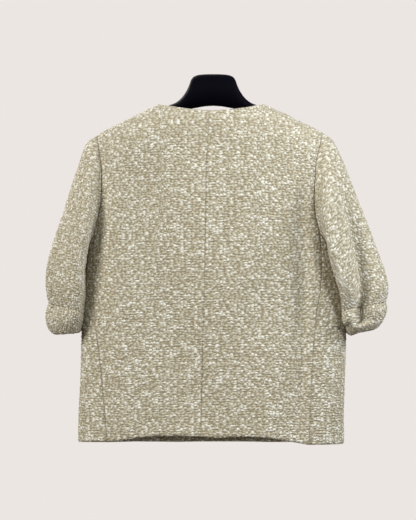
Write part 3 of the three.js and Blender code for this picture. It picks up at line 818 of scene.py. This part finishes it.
def tweed_material(cloth):
    """Cream tweed: pale nubs in uneven rows over tan shadows, on the flat cloth's own measure."""
    shade = Shade("cream_tweed")
    flat = shade.node("ShaderNodeUVMap", {"uv_map": "grain"}, {}).outputs["UV"]
    fuzz = shade.noise(flat, 900.0, 4.0)
    patch = shade.noise(flat, 14.0, 2.0)
    speck = shade.noise(flat, 330.0, 1.0)
    drift = shade.node("ShaderNodeTexNoise", {}, {"Vector": flat, "Scale": 90.0, "Detail": 1.0})
    bend = {0: drift.outputs["Color"], 1: YARN_BEND, 2: flat}
    bent = shade.node("ShaderNodeVectorMath", {"operation": "MULTIPLY_ADD"}, bend).outputs[0]
    pitch = {0: bent, 1: (cloth.nub_length, cloth.row_pitch, 1.0)}
    lattice = shade.node("ShaderNodeVectorMath", {"operation": "DIVIDE"}, pitch).outputs[0]
    cells = {"Vector": lattice, "Scale": 1.0, "Randomness": 0.9}
    nub = shade.node("ShaderNodeTexVoronoi", {"voronoi_dimensions": "2D"}, cells)
    luck = shade.number("ShaderNodeSeparateColor", {}, {"Color": nub.outputs["Color"]})
    dome = 1 - Number(shade, nub.outputs["Distance"]).ease(*NUB_ROUND)
    nap, tone, slub, seam = (
        shade.number("ShaderNodeAttribute", {"attribute_name": name}, {}, "Fac")
        for name in ("nap", "tone", "slub", "seam")
    )
    row = shade.number("ShaderNodeSeparateXYZ", {}, {"Vector": lattice}, "Y")
    course = (row * (2 * math.pi)).cosine() * 0.5 + 0.5
    yarn = (dome * 0.78 + course * 0.22) * (0.62 + luck * 0.38)
    high = yarn * 0.85 + nap * 0.2
    lit = (high + (fuzz - 0.5) * 0.5 + (speck - 0.5) * 0.2).ease(-0.1, 0.62)
    base = shade.mix(lit, colour(cloth.shadow_colour), colour(cloth.body_colour))
    warm = shade.mix((speck - 0.55) * 1.6 * lit, base, colour(cloth.warm_colour))
    green = shade.mix((0.45 - speck) * 1.6 * lit, warm, colour(cloth.green_colour))
    pale = luck.ease(0.45, 1.0) * lit * 0.85 + tone * 0.1 + slub * 0.7 + (patch - 0.5) * 0.1
    cream = shade.mix(pale.ease(0.1, 1.0), green, colour(cloth.pale_colour))
    # painted shade: the colour darkens towards each sewn edge, deep in the seam's groove
    seam_shaded = shade.mix(seam * 0.4, cream, colour(cloth.seam_shade_colour))
    return shade.finish(
        Base_Color=seam_shaded,
        Roughness=0.88 + (fuzz - 0.5) * 0.2,
        Normal=shade.bump(0.8, BUMP_DEPTH, yarn * 0.8 + fuzz * 0.2),
        Sheen_Weight=0.12,
        Sheen_Roughness=0.5,
        Specular_IOR_Level=0.15,
    )


def slub_material(cloth):
    """The soft white yarn of the loops that stand out of the tweed."""
    shade = Shade("slub_yarn")
    place = shade.here()
    fibre = shade.noise(place, 1800.0, 3.0)
    drift = shade.noise(place, 90.0, 2.0)
    return shade.finish(
        Base_Color=shade.mix(drift.ease(0.3, 0.7), colour(cloth.body_colour), colour(cloth.slub_colour)),
        Roughness=0.85 + (fibre - 0.5) * 0.2,
        Normal=shade.bump(0.5, FIBRE_DEPTH, fibre),
        Sheen_Weight=0.2,
        Sheen_Roughness=0.5,
        Specular_IOR_Level=0.2,
    )


def hanger_material(hanger):
    """Black moulding with a faint soft grain, a little lighter and duller in soft random patches."""
    shade = Shade("soft_black")
    place = shade.here()
    grain = shade.noise(place, 900.0, 3.0)
    cloud = shade.noise(place, 22.0, 2.0)
    wear = cloud.ease(0.3, 0.75) * 0.6
    return shade.finish(
        Base_Color=shade.mix(wear, colour(hanger.black), colour(hanger.worn_black)),
        Roughness=0.72 + (cloud - 0.5) * 0.2,
        Normal=shade.bump(0.2, GRAIN_DEPTH, grain),
        Specular_IOR_Level=0.05,
    )


# ------------------------------------------------------------------ meshes
def make_object(name, points, faces, material):
    mesh = bpy.data.meshes.new(name)
    mesh.from_pydata((points * MM).tolist(), [], faces)
    mesh.polygons.foreach_set("use_smooth", [True] * len(mesh.polygons))
    mesh.materials.append(material)
    made = bpy.data.objects.new(name, mesh)
    bpy.context.scene.collection.objects.link(made)
    return made


def quads(table):
    """Faces between the numbered points of a grid."""
    corners = table[:-1, :-1], table[:-1, 1:], table[1:, 1:], table[1:, :-1]
    return np.stack([corner.ravel() for corner in corners], axis=1)


def grid_volume(points, faces):
    """Six times the volume inside the faces, above 0 where they point outwards."""
    a, b, c, d = (points[faces[:, index]] for index in range(4))
    first = np.einsum("ij,ij->i", a, np.cross(b, c))
    second = np.einsum("ij,ij->i", a, np.cross(c, d))
    return float((first + second).sum())


def shell(name, outer, inner, every, all_round, material, flat, marks):
    """A closed wall: a fine outer grid, an inner one with every few points, and rims."""
    rows_out, columns_out = outer.shape[:2]
    rows_in, columns_in = inner.shape[:2]
    number = np.arange(rows_out * columns_out).reshape(rows_out, columns_out)
    number_in = rows_out * columns_out + np.arange(rows_in * columns_in).reshape(rows_in, columns_in)
    if all_round:
        number = np.concatenate([number, number[:, :1]], axis=1)
        number_in = np.concatenate([number_in, number_in[:, :1]], axis=1)
    points = np.concatenate([outer.reshape(-1, 3), inner.reshape(-1, 3)])
    skin = quads(number)
    lining = quads(number_in)[:, ::-1]
    rims = []

    def rim(edge, edge_in, turned):
        for index in range(len(edge_in) - 1):
            line = list(edge[index * every : (index + 1) * every + 1])
            face = line[::-1] + [edge_in[index], edge_in[index + 1]]
            rims.append(face[::-1] if turned else face)

    rim(number[0], number_in[0], False)
    rim(number[-1], number_in[-1], True)
    if not all_round:
        rim(number[:, 0], number_in[:, 0], True)
        rim(number[:, -1], number_in[:, -1], False)
    faces = [*skin.tolist(), *lining.tolist(), *([int(corner) for corner in face] for face in rims)]
    if grid_volume(points, skin) + grid_volume(points, lining) < 0:
        faces = [face[::-1] for face in faces]
    made = make_object(name, points, faces, material)
    write_flat(made, flat, every, all_round, columns_out)
    write_marks(made, marks, every)
    return made


def write_flat(made, flat, every, all_round, columns):
    """Stores the flat cloth's measure as the grain map."""
    s, t = (grid[:, :columns] for grid in flat)
    places = [np.concatenate([grid.ravel(), grid[::every, ::every].ravel()]) for grid in (s, t)]
    mesh = made.data
    corners = np.empty(len(mesh.loops), dtype=np.int64)
    mesh.loops.foreach_get("vertex_index", corners)
    uv = np.stack(places, axis=1)[corners]
    if all_round:
        starts = np.empty(len(mesh.polygons), dtype=np.int64)
        totals = np.empty(len(mesh.polygons), dtype=np.int64)
        mesh.polygons.foreach_get("loop_start", starts)
        mesh.polygons.foreach_get("loop_total", totals)
        width = float(flat[0][0, -1])
        span = np.maximum.reduceat(uv[:, 0], starts) - np.minimum.reduceat(uv[:, 0], starts)
        crossing = np.repeat(span > width / 2, totals)
        uv[crossing & (uv[:, 0] < width / 2), 0] += width
    layer = mesh.uv_layers.new(name="grain")
    layer.data.foreach_set("uv", (uv * MM).ravel())


def write_marks(made, marks, every):
    """Stores the relief, the yarn's shade and how near a seam each point is."""
    for name, grid in marks.items():
        values = np.concatenate([grid.ravel(), grid[::every, ::every].ravel()])
        mark = made.data.attributes.new(name, "FLOAT", "POINT")
        mark.data.foreach_set("value", values.astype(np.float32))


FAR_AWAY = 1000.0


def edge_distance(points, edges, all_round):
    """Distance over the cloth from each point to the nearest of the named edges."""
    down = lengths_along(points, 0)
    far = np.full(points.shape[:2], FAR_AWAY)
    if "low" in edges:
        far = np.minimum(far, down)
    if "high" in edges:
        far = np.minimum(far, down[-1:] - down)
    if not all_round:
        across = lengths_along(points, 1)
        if "start" in edges:
            far = np.minimum(far, across)
        if "end" in edges:
            far = np.minimum(far, across[:, -1:] - across)
    return far


def cloth_area(points, all_round):
    grid = np.concatenate([points, points[:, :1]], axis=1) if all_round else points
    one = grid[1:, 1:] - grid[:-1, :-1]
    other = grid[1:, :-1] - grid[:-1, 1:]
    return float(np.linalg.norm(np.cross(one, other), axis=2).sum() / 2)


def cut_size(points, all_round):
    """The cut's flat width, length and area, in metres."""
    grid = np.concatenate([points, points[:, :1]], axis=1) if all_round else points
    width = float(lengths_along(grid, 1)[:, -1].max()) * MM
    length = float(lengths_along(grid, 0)[-1].max()) * MM
    area = cloth_area(points, all_round) * MM * MM
    return (width, length), min(area, width * length)


EDGE_ROLL = 1.1  # how far a loose edge rolls in, and over what distance
EDGE_ROLL_REACH = 1.6
CALM = 0.35  # what is left of the relief at a seam or an edge, and how far from it
CALM_REACH = 3
SEAM_SHADE_REACH = 1.1
SLUB_LIFT = 0.8  # height above the smooth cloth of the surface that slubs are strewn on
surfaces = {}  # each panel's surface for its slubs, and the size and area of its cut


def clothe(node, points, flat, all_round, sewn, loose, away=None):
    """Turns a panel's smooth surface into a wall of tweed that stands for its solid."""
    cloth = bpy.context.scene.jacket_tweed
    every = cloth.inner_every
    normals = normals_of(points, all_round)
    if all_round:
        middle = points.mean(axis=1, keepdims=True)
        outward = np.sign(np.einsum("ijk,ijk->ij", normals, points - middle).sum())
    else:
        outward = np.sign((normals[..., :2] * points[..., :2]).sum())
    normals *= outward
    to_seam = edge_distance(points, sewn, all_round)
    to_edge = edge_distance(points, loose, all_round)
    s, t = flat
    columns = points.shape[1]
    nap, tone, slub = weave(s[:, :columns], t[:, :columns], cloth)
    groove = cloth.seam_depth / MM * np.exp(-((to_seam / (cloth.seam_width / MM)) ** 2))
    roll = EDGE_ROLL * np.exp(-((to_edge / EDGE_ROLL_REACH) ** 2))
    calm = CALM + (1 - CALM) * smooth(0, CALM_REACH, np.minimum(to_seam, to_edge))
    outer = points + normals * (nap * cloth.nub_height / MM * calm - groove - roll)[..., None]
    into = -normals[::every, ::every].copy()
    if away is not None:
        first = into[0]
        back = np.minimum(np.einsum("ij,ij->i", first, away[::every]), 0)
        first -= away[::every] * back[:, None]
        first /= np.linalg.norm(first, axis=1, keepdims=True)
    inner = points[::every, ::every] + into * WALL
    # how near a seam each point is: the mask of the painted shade deep in the seams
    seam = np.exp(-((to_seam / SEAM_SHADE_REACH) ** 2))
    marks = {"nap": nap, "tone": tone, "slub": slub, "seam": seam}
    tweed = bpy.data.materials["cream_tweed"]
    made = shell(f"{node}_tweed", outer, inner, every, all_round, tweed, flat, marks)
    size, area = cut_size(points, all_round)
    surfaces[node] = (points + normals * SLUB_LIFT, size, area)
    return made


# ------------------------------------------------------------------ settings
def length(name, description, default):
    return bpy.props.FloatProperty(
        name=name, description=description, default=default, unit="LENGTH", precision=4
    )


def power(name, description, default):
    return bpy.props.FloatProperty(name=name, description=description, default=default, unit="POWER")


def tint(name, description, default):
    return bpy.props.FloatVectorProperty(
        name=name, description=description, default=default, subtype="COLOR"
    )


class JACKET_PG_tweed(bpy.types.PropertyGroup):
    mesh_step: length("Mesh step", "Distance between the cloth's points", 0.0016)
    inner_every: bpy.props.IntProperty(
        name="Inner step", description="Outer steps to one on the inner side", default=3, min=1
    )
    row_pitch: length("Row pitch", "Height of one row of yarn", 0.0042)
    nub_length: length("Nub length", "Length of one nub along its row", 0.0060)
    nub_height: length("Nub height", "How far the nubs stand out", 0.0016)
    seam_depth: length("Seam depth", "How far cloth sinks at a seam", 0.00045)
    seam_width: length("Seam width", "Half width of the sunken seam", 0.0012)
    lump_spacing: length("Lump spacing", "Distance between thick lumps of yarn", 0.027)
    slub_spacing: length("Slub spacing", "Least distance between two slubs", 0.012)
    slub_radius: length("Slub radius", "Radius of a loop of slub yarn", 0.0012)
    yarn_radius: length("Yarn radius", "Radius of the slub yarn", 0.0007)
    shadow_colour: tint("Shadow", "Colour between the nubs", (0.26, 0.21, 0.12))
    body_colour: tint("Body", "Colour of most of the yarn", (0.615, 0.568, 0.44))
    warm_colour: tint("Warm yarn", "Colour of the warmer nubs", (0.62, 0.53, 0.42))
    green_colour: tint("Green yarn", "Colour of the greener nubs", (0.54, 0.56, 0.38))
    pale_colour: tint("Pale yarn", "Colour of the palest nubs", (0.88, 0.86, 0.77))
    slub_colour: tint("Slub", "Colour of the loops of slub yarn", (0.86, 0.84, 0.77))
    # painted shade: the dark colour deep in a seam
    seam_shade_colour: tint("Seam", "Colour deep in a seam", (0.20, 0.165, 0.10))


class JACKET_PG_hanger(bpy.types.PropertyGroup):
    black: tint("Black", "Colour of the moulding", (0.001, 0.0008, 0.003))
    worn_black: tint("Worn black", "Colour where it is handled", (0.002, 0.0016, 0.005))
    around: bpy.props.IntProperty(
        name="Around", description="Points round the moulding", default=48, min=8
    )
    stations: bpy.props.IntProperty(
        name="Stations", description="Sections along one half", default=90, min=8
    )


class JACKET_PG_stage(bpy.types.PropertyGroup):
    backdrop: tint("Backdrop", "Colour all round the jacket", (0.839, 0.791, 0.768))
    floor: tint("Floor", "Colour of the floor", (0.50, 0.47, 0.45))
    below: tint("Below", "Colour of the light from below", (0.10, 0.08, 0.05))
    floor_drop: length("Floor drop", "Floor below the jacket's hem", 0.8)
    distance: length("Camera distance", "From the camera to the jacket", 4.5)
    picture_height: length("Picture height", "Height that the camera takes in", 0.884)
    ambient: bpy.props.FloatProperty(
        name="Ambient", description="Strength of the light from all round", default=0.34
    )
    front: power("Front", "Power of the light on the front", 45)
    key: power("Key", "Power of the main light", 138)
    fill: power("Fill", "Power of the other side's light", 24)
    side: power("Side", "Power of the light by the right sleeve", 9)


# ------------------------------------------------------------------ operators
class JACKET_OT_materials(bpy.types.Operator):
    """Make the tweed, the slub yarn and the hanger's moulding"""

    bl_idname = "jacket.materials"
    bl_label = "Materials"

    def execute(self, context):
        tweed_material(context.scene.jacket_tweed)
        slub_material(context.scene.jacket_tweed)
        hanger_material(context.scene.jacket_hanger)
        return {"FINISHED"}


BOX_SLACK = 0.006  # how far a piece's box may be from its solid's, in metres


def check_box(made, node):
    """Raises an error where a piece's box isn't that of the solid that it stands for."""
    places = np.empty(len(made.data.vertices) * 3)
    made.data.vertices.foreach_get("co", places)
    places = places.reshape(-1, 3)
    low, high = (np.array(corner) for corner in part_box(node))
    gap = max(np.abs(places.min(axis=0) - low).max(), np.abs(places.max(axis=0) - high).max())
    if gap > BOX_SLACK:
        raise ValueError(f"{made.name} is {gap / MM:.1f} mm away from the box of {node}")


def declare(made, node):
    check_box(made, node)
    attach(made, "root")
    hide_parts(node)


class JACKET_OT_panels(bpy.types.Operator):
    """Make the back and front panels on both sides"""

    bl_idname = "jacket.panels"
    bl_label = "Back and front panels"

    def execute(self, context):
        cloth = context.scene.jacket_tweed
        for side in SIDES:
            for face in ("back", "front"):
                points, s, t = panel_surface(side, face, cloth.mesh_step / MM, cloth.inner_every)
                sewn = ("start", "end") if face == "back" else ("end",)
                loose = ("low", "high") if face == "back" else ("low", "high", "start")
                made = clothe(f"{face}_{side}", points, (s, t), False, sewn, loose)
                declare(made, f"{face}_{side}")
        return {"FINISHED"}


class JACKET_OT_side_panels(bpy.types.Operator):
    """Make the two panels under the arms"""

    bl_idname = "jacket.side_panels"
    bl_label = "Side panels"

    def execute(self, context):
        cloth = context.scene.jacket_tweed
        for side in SIDES:
            points, s, t = side_surface(side, cloth.mesh_step / MM, cloth.inner_every)
            made = clothe(f"side_{side}", points, (s, t), False, ("start", "end", "high"), ("low",))
            declare(made, f"side_{side}")
        return {"FINISHED"}


class JACKET_OT_sleeves(bpy.types.Operator):
    """Make the two gathered sleeves and their turned-under cuffs"""

    bl_idname = "jacket.sleeves"
    bl_label = "Sleeves and cuffs"

    around: length("Round the sleeve", "Width of weave laid round a sleeve", 0.4)

    def execute(self, context):
        cloth = context.scene.jacket_tweed
        step, every = cloth.mesh_step / MM, cloth.inner_every
        width = self.around / MM
        rings = {name: steps_for(long, step, every) + 1 for name, long in TUBE_LENGTHS.items()}
        for side in SIDES:
            folds = SLEEVE_FOLDS[side]
            start, turns, away = sleeve_start(side, steps_for(width, step, every))
            dense = tube_points(SLEEVE_ROWS[side], side, start, turns, folds, ARMHOLE_BLEND, 0, DENSE)
            points, s, t = tube_surface(dense, rings["sleeve"], width, False)
            made = clothe(f"sleeve_{side}", points, (s, t), True, ("low",), (), away)
            declare(made, f"sleeve_{side}")
            dense = tube_points(CUFF_ROWS[side], side, dense[-1], turns, folds, CUFF_BLEND, 1, DENSE)
            points, s, t = tube_surface(dense, rings["cuff"], width, True)
            made = clothe(f"cuff_{side}", points, (s, t), True, (), ("high",))
            declare(made, f"cuff_{side}")
        return {"FINISHED"}


def hanger_stations(stations):
    """Sections from the hanger's right end to its left end, in millimetres."""
    reach = HANGER_ROWS[-1]["x"]
    tracks = {name: track(HANGER_ROWS, "x", name) for name in ("top", "bottom", "half")}
    deep, half = track(ARM_ROWS, "x", "deep"), track(ARM_ROWS, "x", "half")
    even, closer = np.linspace(0, ARM_REACH, stations), np.linspace(*NECK_CORNER, stations // 3)
    out = np.unique(np.concatenate([even, closer]))
    lines = []
    for sign in (-1, 1):
        x = HANGER_SHIFT + sign * out
        slope = (ridge(x + 1) - ridge(x - 1)) / 2
        drop = np.maximum(TIP_LENGTH - ARM_REACH + out, 0) ** 2 / (2 * TIP_RADIUS)
        arm = ridge(x) - (WALL + ARM_CLEARANCE) * np.sqrt(1 + slope**2) - drop
        neck = out <= reach
        top = np.where(neck, tracks["top"](out), arm)
        bottom = np.where(neck, tracks["bottom"](out), arm - deep(out))
        thick = np.where(neck, tracks["half"](out), half(out))
        line = np.stack([x, top, bottom, thick], axis=1)
        lines.append(line[::-1] if sign < 0 else line[1:])
    return np.concatenate(lines)


class JACKET_OT_hanger(bpy.types.Operator):
    """Make the moulded hanger"""

    bl_idname = "jacket.hanger"
    bl_label = "Hanger"

    def execute(self, context):
        hanger = context.scene.jacket_hanger
        lines = hanger_stations(hanger.stations)
        turn = np.linspace(0, 2 * math.pi, hanger.around + 1)[:-1]
        x, top, bottom, half = (lines[:, index, None] for index in range(4))
        y = half * np.sin(turn)
        z = (top + bottom) / 2 + (top - bottom) / 2 * np.cos(turn)
        points = np.stack(np.broadcast_arrays(x, y, z), axis=2)
        count = points.shape[0] * points.shape[1]
        number = np.arange(count).reshape(points.shape[:2])
        faces = quads(np.concatenate([number, number[:, :1]], axis=1))
        caps = [number[0][::-1].tolist(), number[-1].tolist()]
        flat = points.reshape(-1, 3)
        if grid_volume(flat, faces) < 0:
            faces = faces[:, ::-1]
            caps = [cap[::-1] for cap in caps]
        black = bpy.data.materials["soft_black"]
        made = make_object("hanger_moulding", flat, [*faces.tolist(), *caps], black)
        declare(made, "hanger")
        return {"FINISHED"}


# ------------------------------------------------------------------ slubs
SLUB_EVERY = 4  # grid steps to one on the surface that the slubs are strewn on
SLUB_MARGIN = 2  # rows and columns left bare along a panel's edges
FIRST_SEED = 11
SLUB_DENSITY = 9000
SLUB_TILT = ((-0.5, -0.5, 0.0), (0.5, 0.5, 2 * math.pi))
SLUB_SIZE = ((0.6, 0.5, 0.7), (1.5, 1.1, 1.2))
LOOP_POINTS = 6
LOOP_SWEEP = math.radians(250)
YARN_SIDES = 4


def slub_tree():
    """Loops of yarn on a surface, at random, that lie along it and stand a little proud."""
    tree = bpy.data.node_groups.new("slub_loops", "GeometryNodeTree")
    sockets = tree.interface
    sockets.new_socket("Geometry", in_out="OUTPUT", socket_type="NodeSocketGeometry")
    sockets.new_socket("Surface", in_out="INPUT", socket_type="NodeSocketGeometry")
    for name in ("Spacing", "Loop Radius", "Yarn Radius"):
        sockets.new_socket(name, in_out="INPUT", socket_type="NodeSocketFloat")
    sockets.new_socket("Seed", in_out="INPUT", socket_type="NodeSocketInt")
    sockets.new_socket("Material", in_out="INPUT", socket_type="NodeSocketMaterial")
    make = Tree(tree)
    given = make.node("NodeGroupInput", {}, {}).outputs
    strewn = {
        "Density Max": SLUB_DENSITY,
        "Mesh": given["Surface"],
        "Distance Min": given["Spacing"],
        "Seed": given["Seed"],
    }
    poisson = {"distribute_method": "POISSON"}
    scatter = make.node("GeometryNodeDistributePointsOnFaces", poisson, strewn).outputs
    arc = {"Resolution": LOOP_POINTS, "Sweep Angle": LOOP_SWEEP, "Radius": given["Loop Radius"]}
    loop = make.node("GeometryNodeCurveArc", {}, arc).outputs["Curve"]
    circle = {"Resolution": YARN_SIDES, "Radius": given["Yarn Radius"]}
    ring = make.node("GeometryNodeCurvePrimitiveCircle", {}, circle).outputs["Curve"]
    tube = {"Fill Caps": True, "Curve": loop, "Profile Curve": ring}
    yarn = make.node("GeometryNodeCurveToMesh", {}, tube).outputs["Mesh"]
    tilt, size = (
        make.node(
            "FunctionNodeRandomValue",
            {"data_type": "FLOAT_VECTOR"},
            {0: low, 1: high, "Seed": given["Seed"]},
        ).outputs[0]
        for low, high in (SLUB_TILT, SLUB_SIZE)
    )
    lean = make.node("FunctionNodeEulerToRotation", {}, {0: tilt}).outputs[0]
    turned = {"Rotation": scatter["Rotation"], "Rotate By": lean}
    turn = make.node("FunctionNodeRotateRotation", {"rotation_space": "LOCAL"}, turned).outputs[0]
    copies = {"Points": scatter["Points"], "Instance": yarn, "Rotation": turn, "Scale": size}
    loops = make.node("GeometryNodeInstanceOnPoints", {}, copies).outputs[0]
    solid = make.node("GeometryNodeRealizeInstances", {}, {"Geometry": loops}).outputs[0]
    soft = make.node("GeometryNodeSetShadeSmooth", {}, {"Geometry": solid}).outputs[0]
    finish = {"Geometry": soft, "Material": given["Material"]}
    result = make.node("GeometryNodeSetMaterial", {}, finish).outputs[0]
    make.node("NodeGroupOutput", {}, {"Geometry": result})
    return tree


def strew(node, seed):
    """Strews slubs over one piece of cloth and returns them as a plain mesh."""
    cloth = bpy.context.scene.jacket_tweed
    tree = bpy.data.node_groups["slub_loops"]
    points = surfaces[node][0]
    all_round = node.startswith(("sleeve", "cuff"))
    points = points[SLUB_MARGIN:-SLUB_MARGIN]
    if all_round:
        points = np.concatenate([points, points[:, :1]], axis=1)[:, ::SLUB_EVERY]
    else:
        points = points[::SLUB_EVERY, SLUB_MARGIN:-SLUB_MARGIN:SLUB_EVERY]
    faces = quads(np.arange(points.shape[0] * points.shape[1]).reshape(points.shape[:2]))
    flat = points.reshape(-1, 3)
    centre = flat.mean(axis=0) if all_round else np.array([0.0, 0.0, flat[:, 2].mean()])
    corner = flat[faces[:, 0]]
    facing = np.cross(flat[faces[:, 1]] - corner, flat[faces[:, 3]] - corner)
    if np.einsum("ij,ij->i", facing, corner - centre).sum() < 0:
        faces = faces[:, ::-1]
    yarn = bpy.data.materials["slub_yarn"]
    made = make_object(f"{node}_slubs", flat, faces.tolist(), yarn)
    modifier = made.modifiers.new("slubs", "NODES")
    modifier.node_group = tree
    values = {
        "Spacing": cloth.slub_spacing,
        "Loop Radius": cloth.slub_radius,
        "Yarn Radius": cloth.yarn_radius,
        "Seed": seed,
        "Material": yarn,
    }
    for item in tree.interface.items_tree:
        if item.name in values:
            modifier[item.identifier] = values[item.name]
    depsgraph = bpy.context.evaluated_depsgraph_get()
    mesh = bpy.data.meshes.new_from_object(made.evaluated_get(depsgraph))
    made.modifiers.clear()
    made.data = mesh
    mesh.name = made.name
    return made


class JACKET_OT_slubs(bpy.types.Operator):
    bl_idname = "jacket.slubs"
    bl_label = "Slubs"

    def execute(self, context):
        slub_tree()
        for number, (node, (_, size, area)) in enumerate(sorted(surfaces.items())):
            slubs = strew(node, number + FIRST_SEED)
            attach(slubs, "root")
        return {"FINISHED"}


# ------------------------------------------------------------------ the stage
VIEW_MIDDLE = Vector((0.0068, 0.0, -0.316))  # what the camera and the lights aim at, in metres
SENSOR = 36  # width of the camera's sensor, in millimetres
WARM_LIGHT = (1.0, 0.98, 0.94)
COOL_LIGHT = (0.94, 0.97, 1.0)
# Each light's place and size in metres; its power is the stage's setting of the same name.
LIGHTS = rows(
    "name place size tint",
    ("key", (2.9, 2.45, 1.4), 1.6, WARM_LIGHT),
    ("fill", (-1.8, 0.35, 0.6), 0.7, COOL_LIGHT),
    ("side", (-0.85, 1.05, 0.2), 0.4, COOL_LIGHT),
    ("front", (0.9, -1.6, 0.9), 1.2, WARM_LIGHT),
)
SKY_COLOUR = (0.95, 0.98, 1.0)
SKY_LOW, SKY_HIGH = 0.35, 0.75  # where the light from below ends and the sky's begins
FLOOR_RADIUS = 0.9
FLOOR_POINTS = 96
FLOOR_CLOUD = (0.42, 0.40, 0.38)


def pale_room(stage):
    """A plain backdrop to look at, and a soft sky that gives the light from all round."""
    world = bpy.data.worlds.new("pale_room")
    world.use_nodes = True
    world.node_tree.nodes.clear()
    tree = Tree(world.node_tree)
    ways = tree.node("ShaderNodeTexCoord", {}, {}).outputs["Generated"]
    rise = tree.node("ShaderNodeSeparateXYZ", {}, {"Vector": ways}).outputs["Z"]
    climb = tree.node("ShaderNodeMapRange", {}, {"Value": rise, "From Min": -1}).outputs["Result"]
    sky = tree.node("ShaderNodeValToRGB", {}, {"Fac": climb})
    stops = (SKY_LOW, colour(stage.below)), (SKY_HIGH, colour(SKY_COLOUR))
    for stop, (place, tone) in zip(sky.color_ramp.elements, stops):
        stop.position = place
        stop.color = tone
    light = {"Color": sky.outputs["Color"], "Strength": stage.ambient}
    room = tree.node("ShaderNodeBackground", {}, light).outputs["Background"]
    backdrop = {"Color": colour(stage.backdrop)}
    seen = tree.node("ShaderNodeBackground", {}, backdrop).outputs["Background"]
    by_eye = tree.node("ShaderNodeLightPath", {}, {}).outputs["Is Camera Ray"]
    choose = tree.node("ShaderNodeMixShader", {}, {"Fac": by_eye, 1: room, 2: seen})
    tree.node("ShaderNodeOutputWorld", {}, {"Surface": choose.outputs[0]})
    return world


def pale_floor(stage):
    """A round floor far below the jacket."""
    shade = Shade("pale_floor")
    cloud = shade.noise(shade.here(), 3.0, 2.0)
    tone = shade.mix(cloud * 0.2, colour(stage.floor), colour(FLOOR_CLOUD))
    shade.finish(Base_Color=tone, Roughness=0.9)
    turn = np.linspace(0, 2 * math.pi, FLOOR_POINTS + 1)[:-1]
    height = np.full_like(turn, CAD_BOX[0][2] - stage.floor_drop)
    ring = np.stack([FLOOR_RADIUS * np.cos(turn), FLOOR_RADIUS * np.sin(turn), height], axis=1) / MM
    return make_object("floor", ring, [list(range(FLOOR_POINTS))], shade.material)


def area_light(name, place, size, tint, power):
    data = bpy.data.lights.new(name, "AREA")
    data.shape = "SQUARE"
    data.size = size
    data.energy = power
    data.color = tint
    made = bpy.data.objects.new(name, data)
    made.location = place
    made.rotation_euler = (VIEW_MIDDLE - Vector(place)).to_track_quat("-Z", "Y").to_euler()
    bpy.context.scene.collection.objects.link(made)


def rear_camera(stage):
    """A camera level with the jacket's middle, straight behind it."""
    data = bpy.data.cameras.new("camera")
    data.sensor_width = SENSOR
    data.lens = SENSOR * stage.distance / stage.picture_height
    camera = bpy.data.objects.new("camera", data)
    camera.location = VIEW_MIDDLE + Vector((0, stage.distance, 0))
    camera.rotation_euler = (math.radians(90), 0, math.radians(180))
    bpy.context.scene.collection.objects.link(camera)
    return camera


class JACKET_OT_stage(bpy.types.Operator):
    """Make the pale floor, the soft lights and the camera behind the jacket"""

    bl_idname = "jacket.stage"
    bl_label = "Stage"

    def execute(self, context):
        scene = context.scene
        stage = scene.jacket_stage
        scene.world = pale_room(stage)
        scene.view_settings.view_transform = "Standard"
        pale_floor(stage)
        for light in LIGHTS:
            name = light["name"]
            strength = getattr(stage, name)
            area_light(f"{name}_light", light["place"], light["size"], light["tint"], strength)
        scene.camera = rear_camera(stage)
        return {"FINISHED"}


class JACKET_PT_parts(bpy.types.Panel):
    """Lists the jacket's sizes, colours and pieces"""

    bl_label = "Cropped Tweed Jacket"
    bl_idname = "JACKET_PT_parts"
    bl_space_type = "VIEW_3D"
    bl_region_type = "UI"
    bl_category = "Jacket"

    def draw(self, context):
        for field in GROUPS:
            group = getattr(context.scene, field)
            for name in group.__annotations__:
                self.layout.prop(group, name)
        for operator in OPERATORS:
            self.layout.operator(operator.bl_idname)


GROUPS = {
    "jacket_tweed": JACKET_PG_tweed,
    "jacket_hanger": JACKET_PG_hanger,
    "jacket_stage": JACKET_PG_stage,
}
OPERATORS = (
    JACKET_OT_materials,
    JACKET_OT_stage,
    JACKET_OT_panels,
    JACKET_OT_side_panels,
    JACKET_OT_sleeves,
    JACKET_OT_hanger,
    JACKET_OT_slubs,
)


def register():
    for one in (*GROUPS.values(), *OPERATORS, JACKET_PT_parts):
        bpy.utils.register_class(one)
    for name, group in GROUPS.items():
        setattr(bpy.types.Scene, name, bpy.props.PointerProperty(type=group))


def unregister():
    for name in GROUPS:
        delattr(bpy.types.Scene, name)
    for one in reversed((*GROUPS.values(), *OPERATORS, JACKET_PT_parts)):
        bpy.utils.unregister_class(one)


def main():
    register()
    bpy.ops.jacket.materials()
    bpy.ops.jacket.stage()
    bpy.ops.jacket.panels()
    bpy.ops.jacket.side_panels()
    bpy.ops.jacket.sleeves()
    bpy.ops.jacket.hanger()
    bpy.ops.jacket.slubs()


if __name__ == "__main__":
    main()
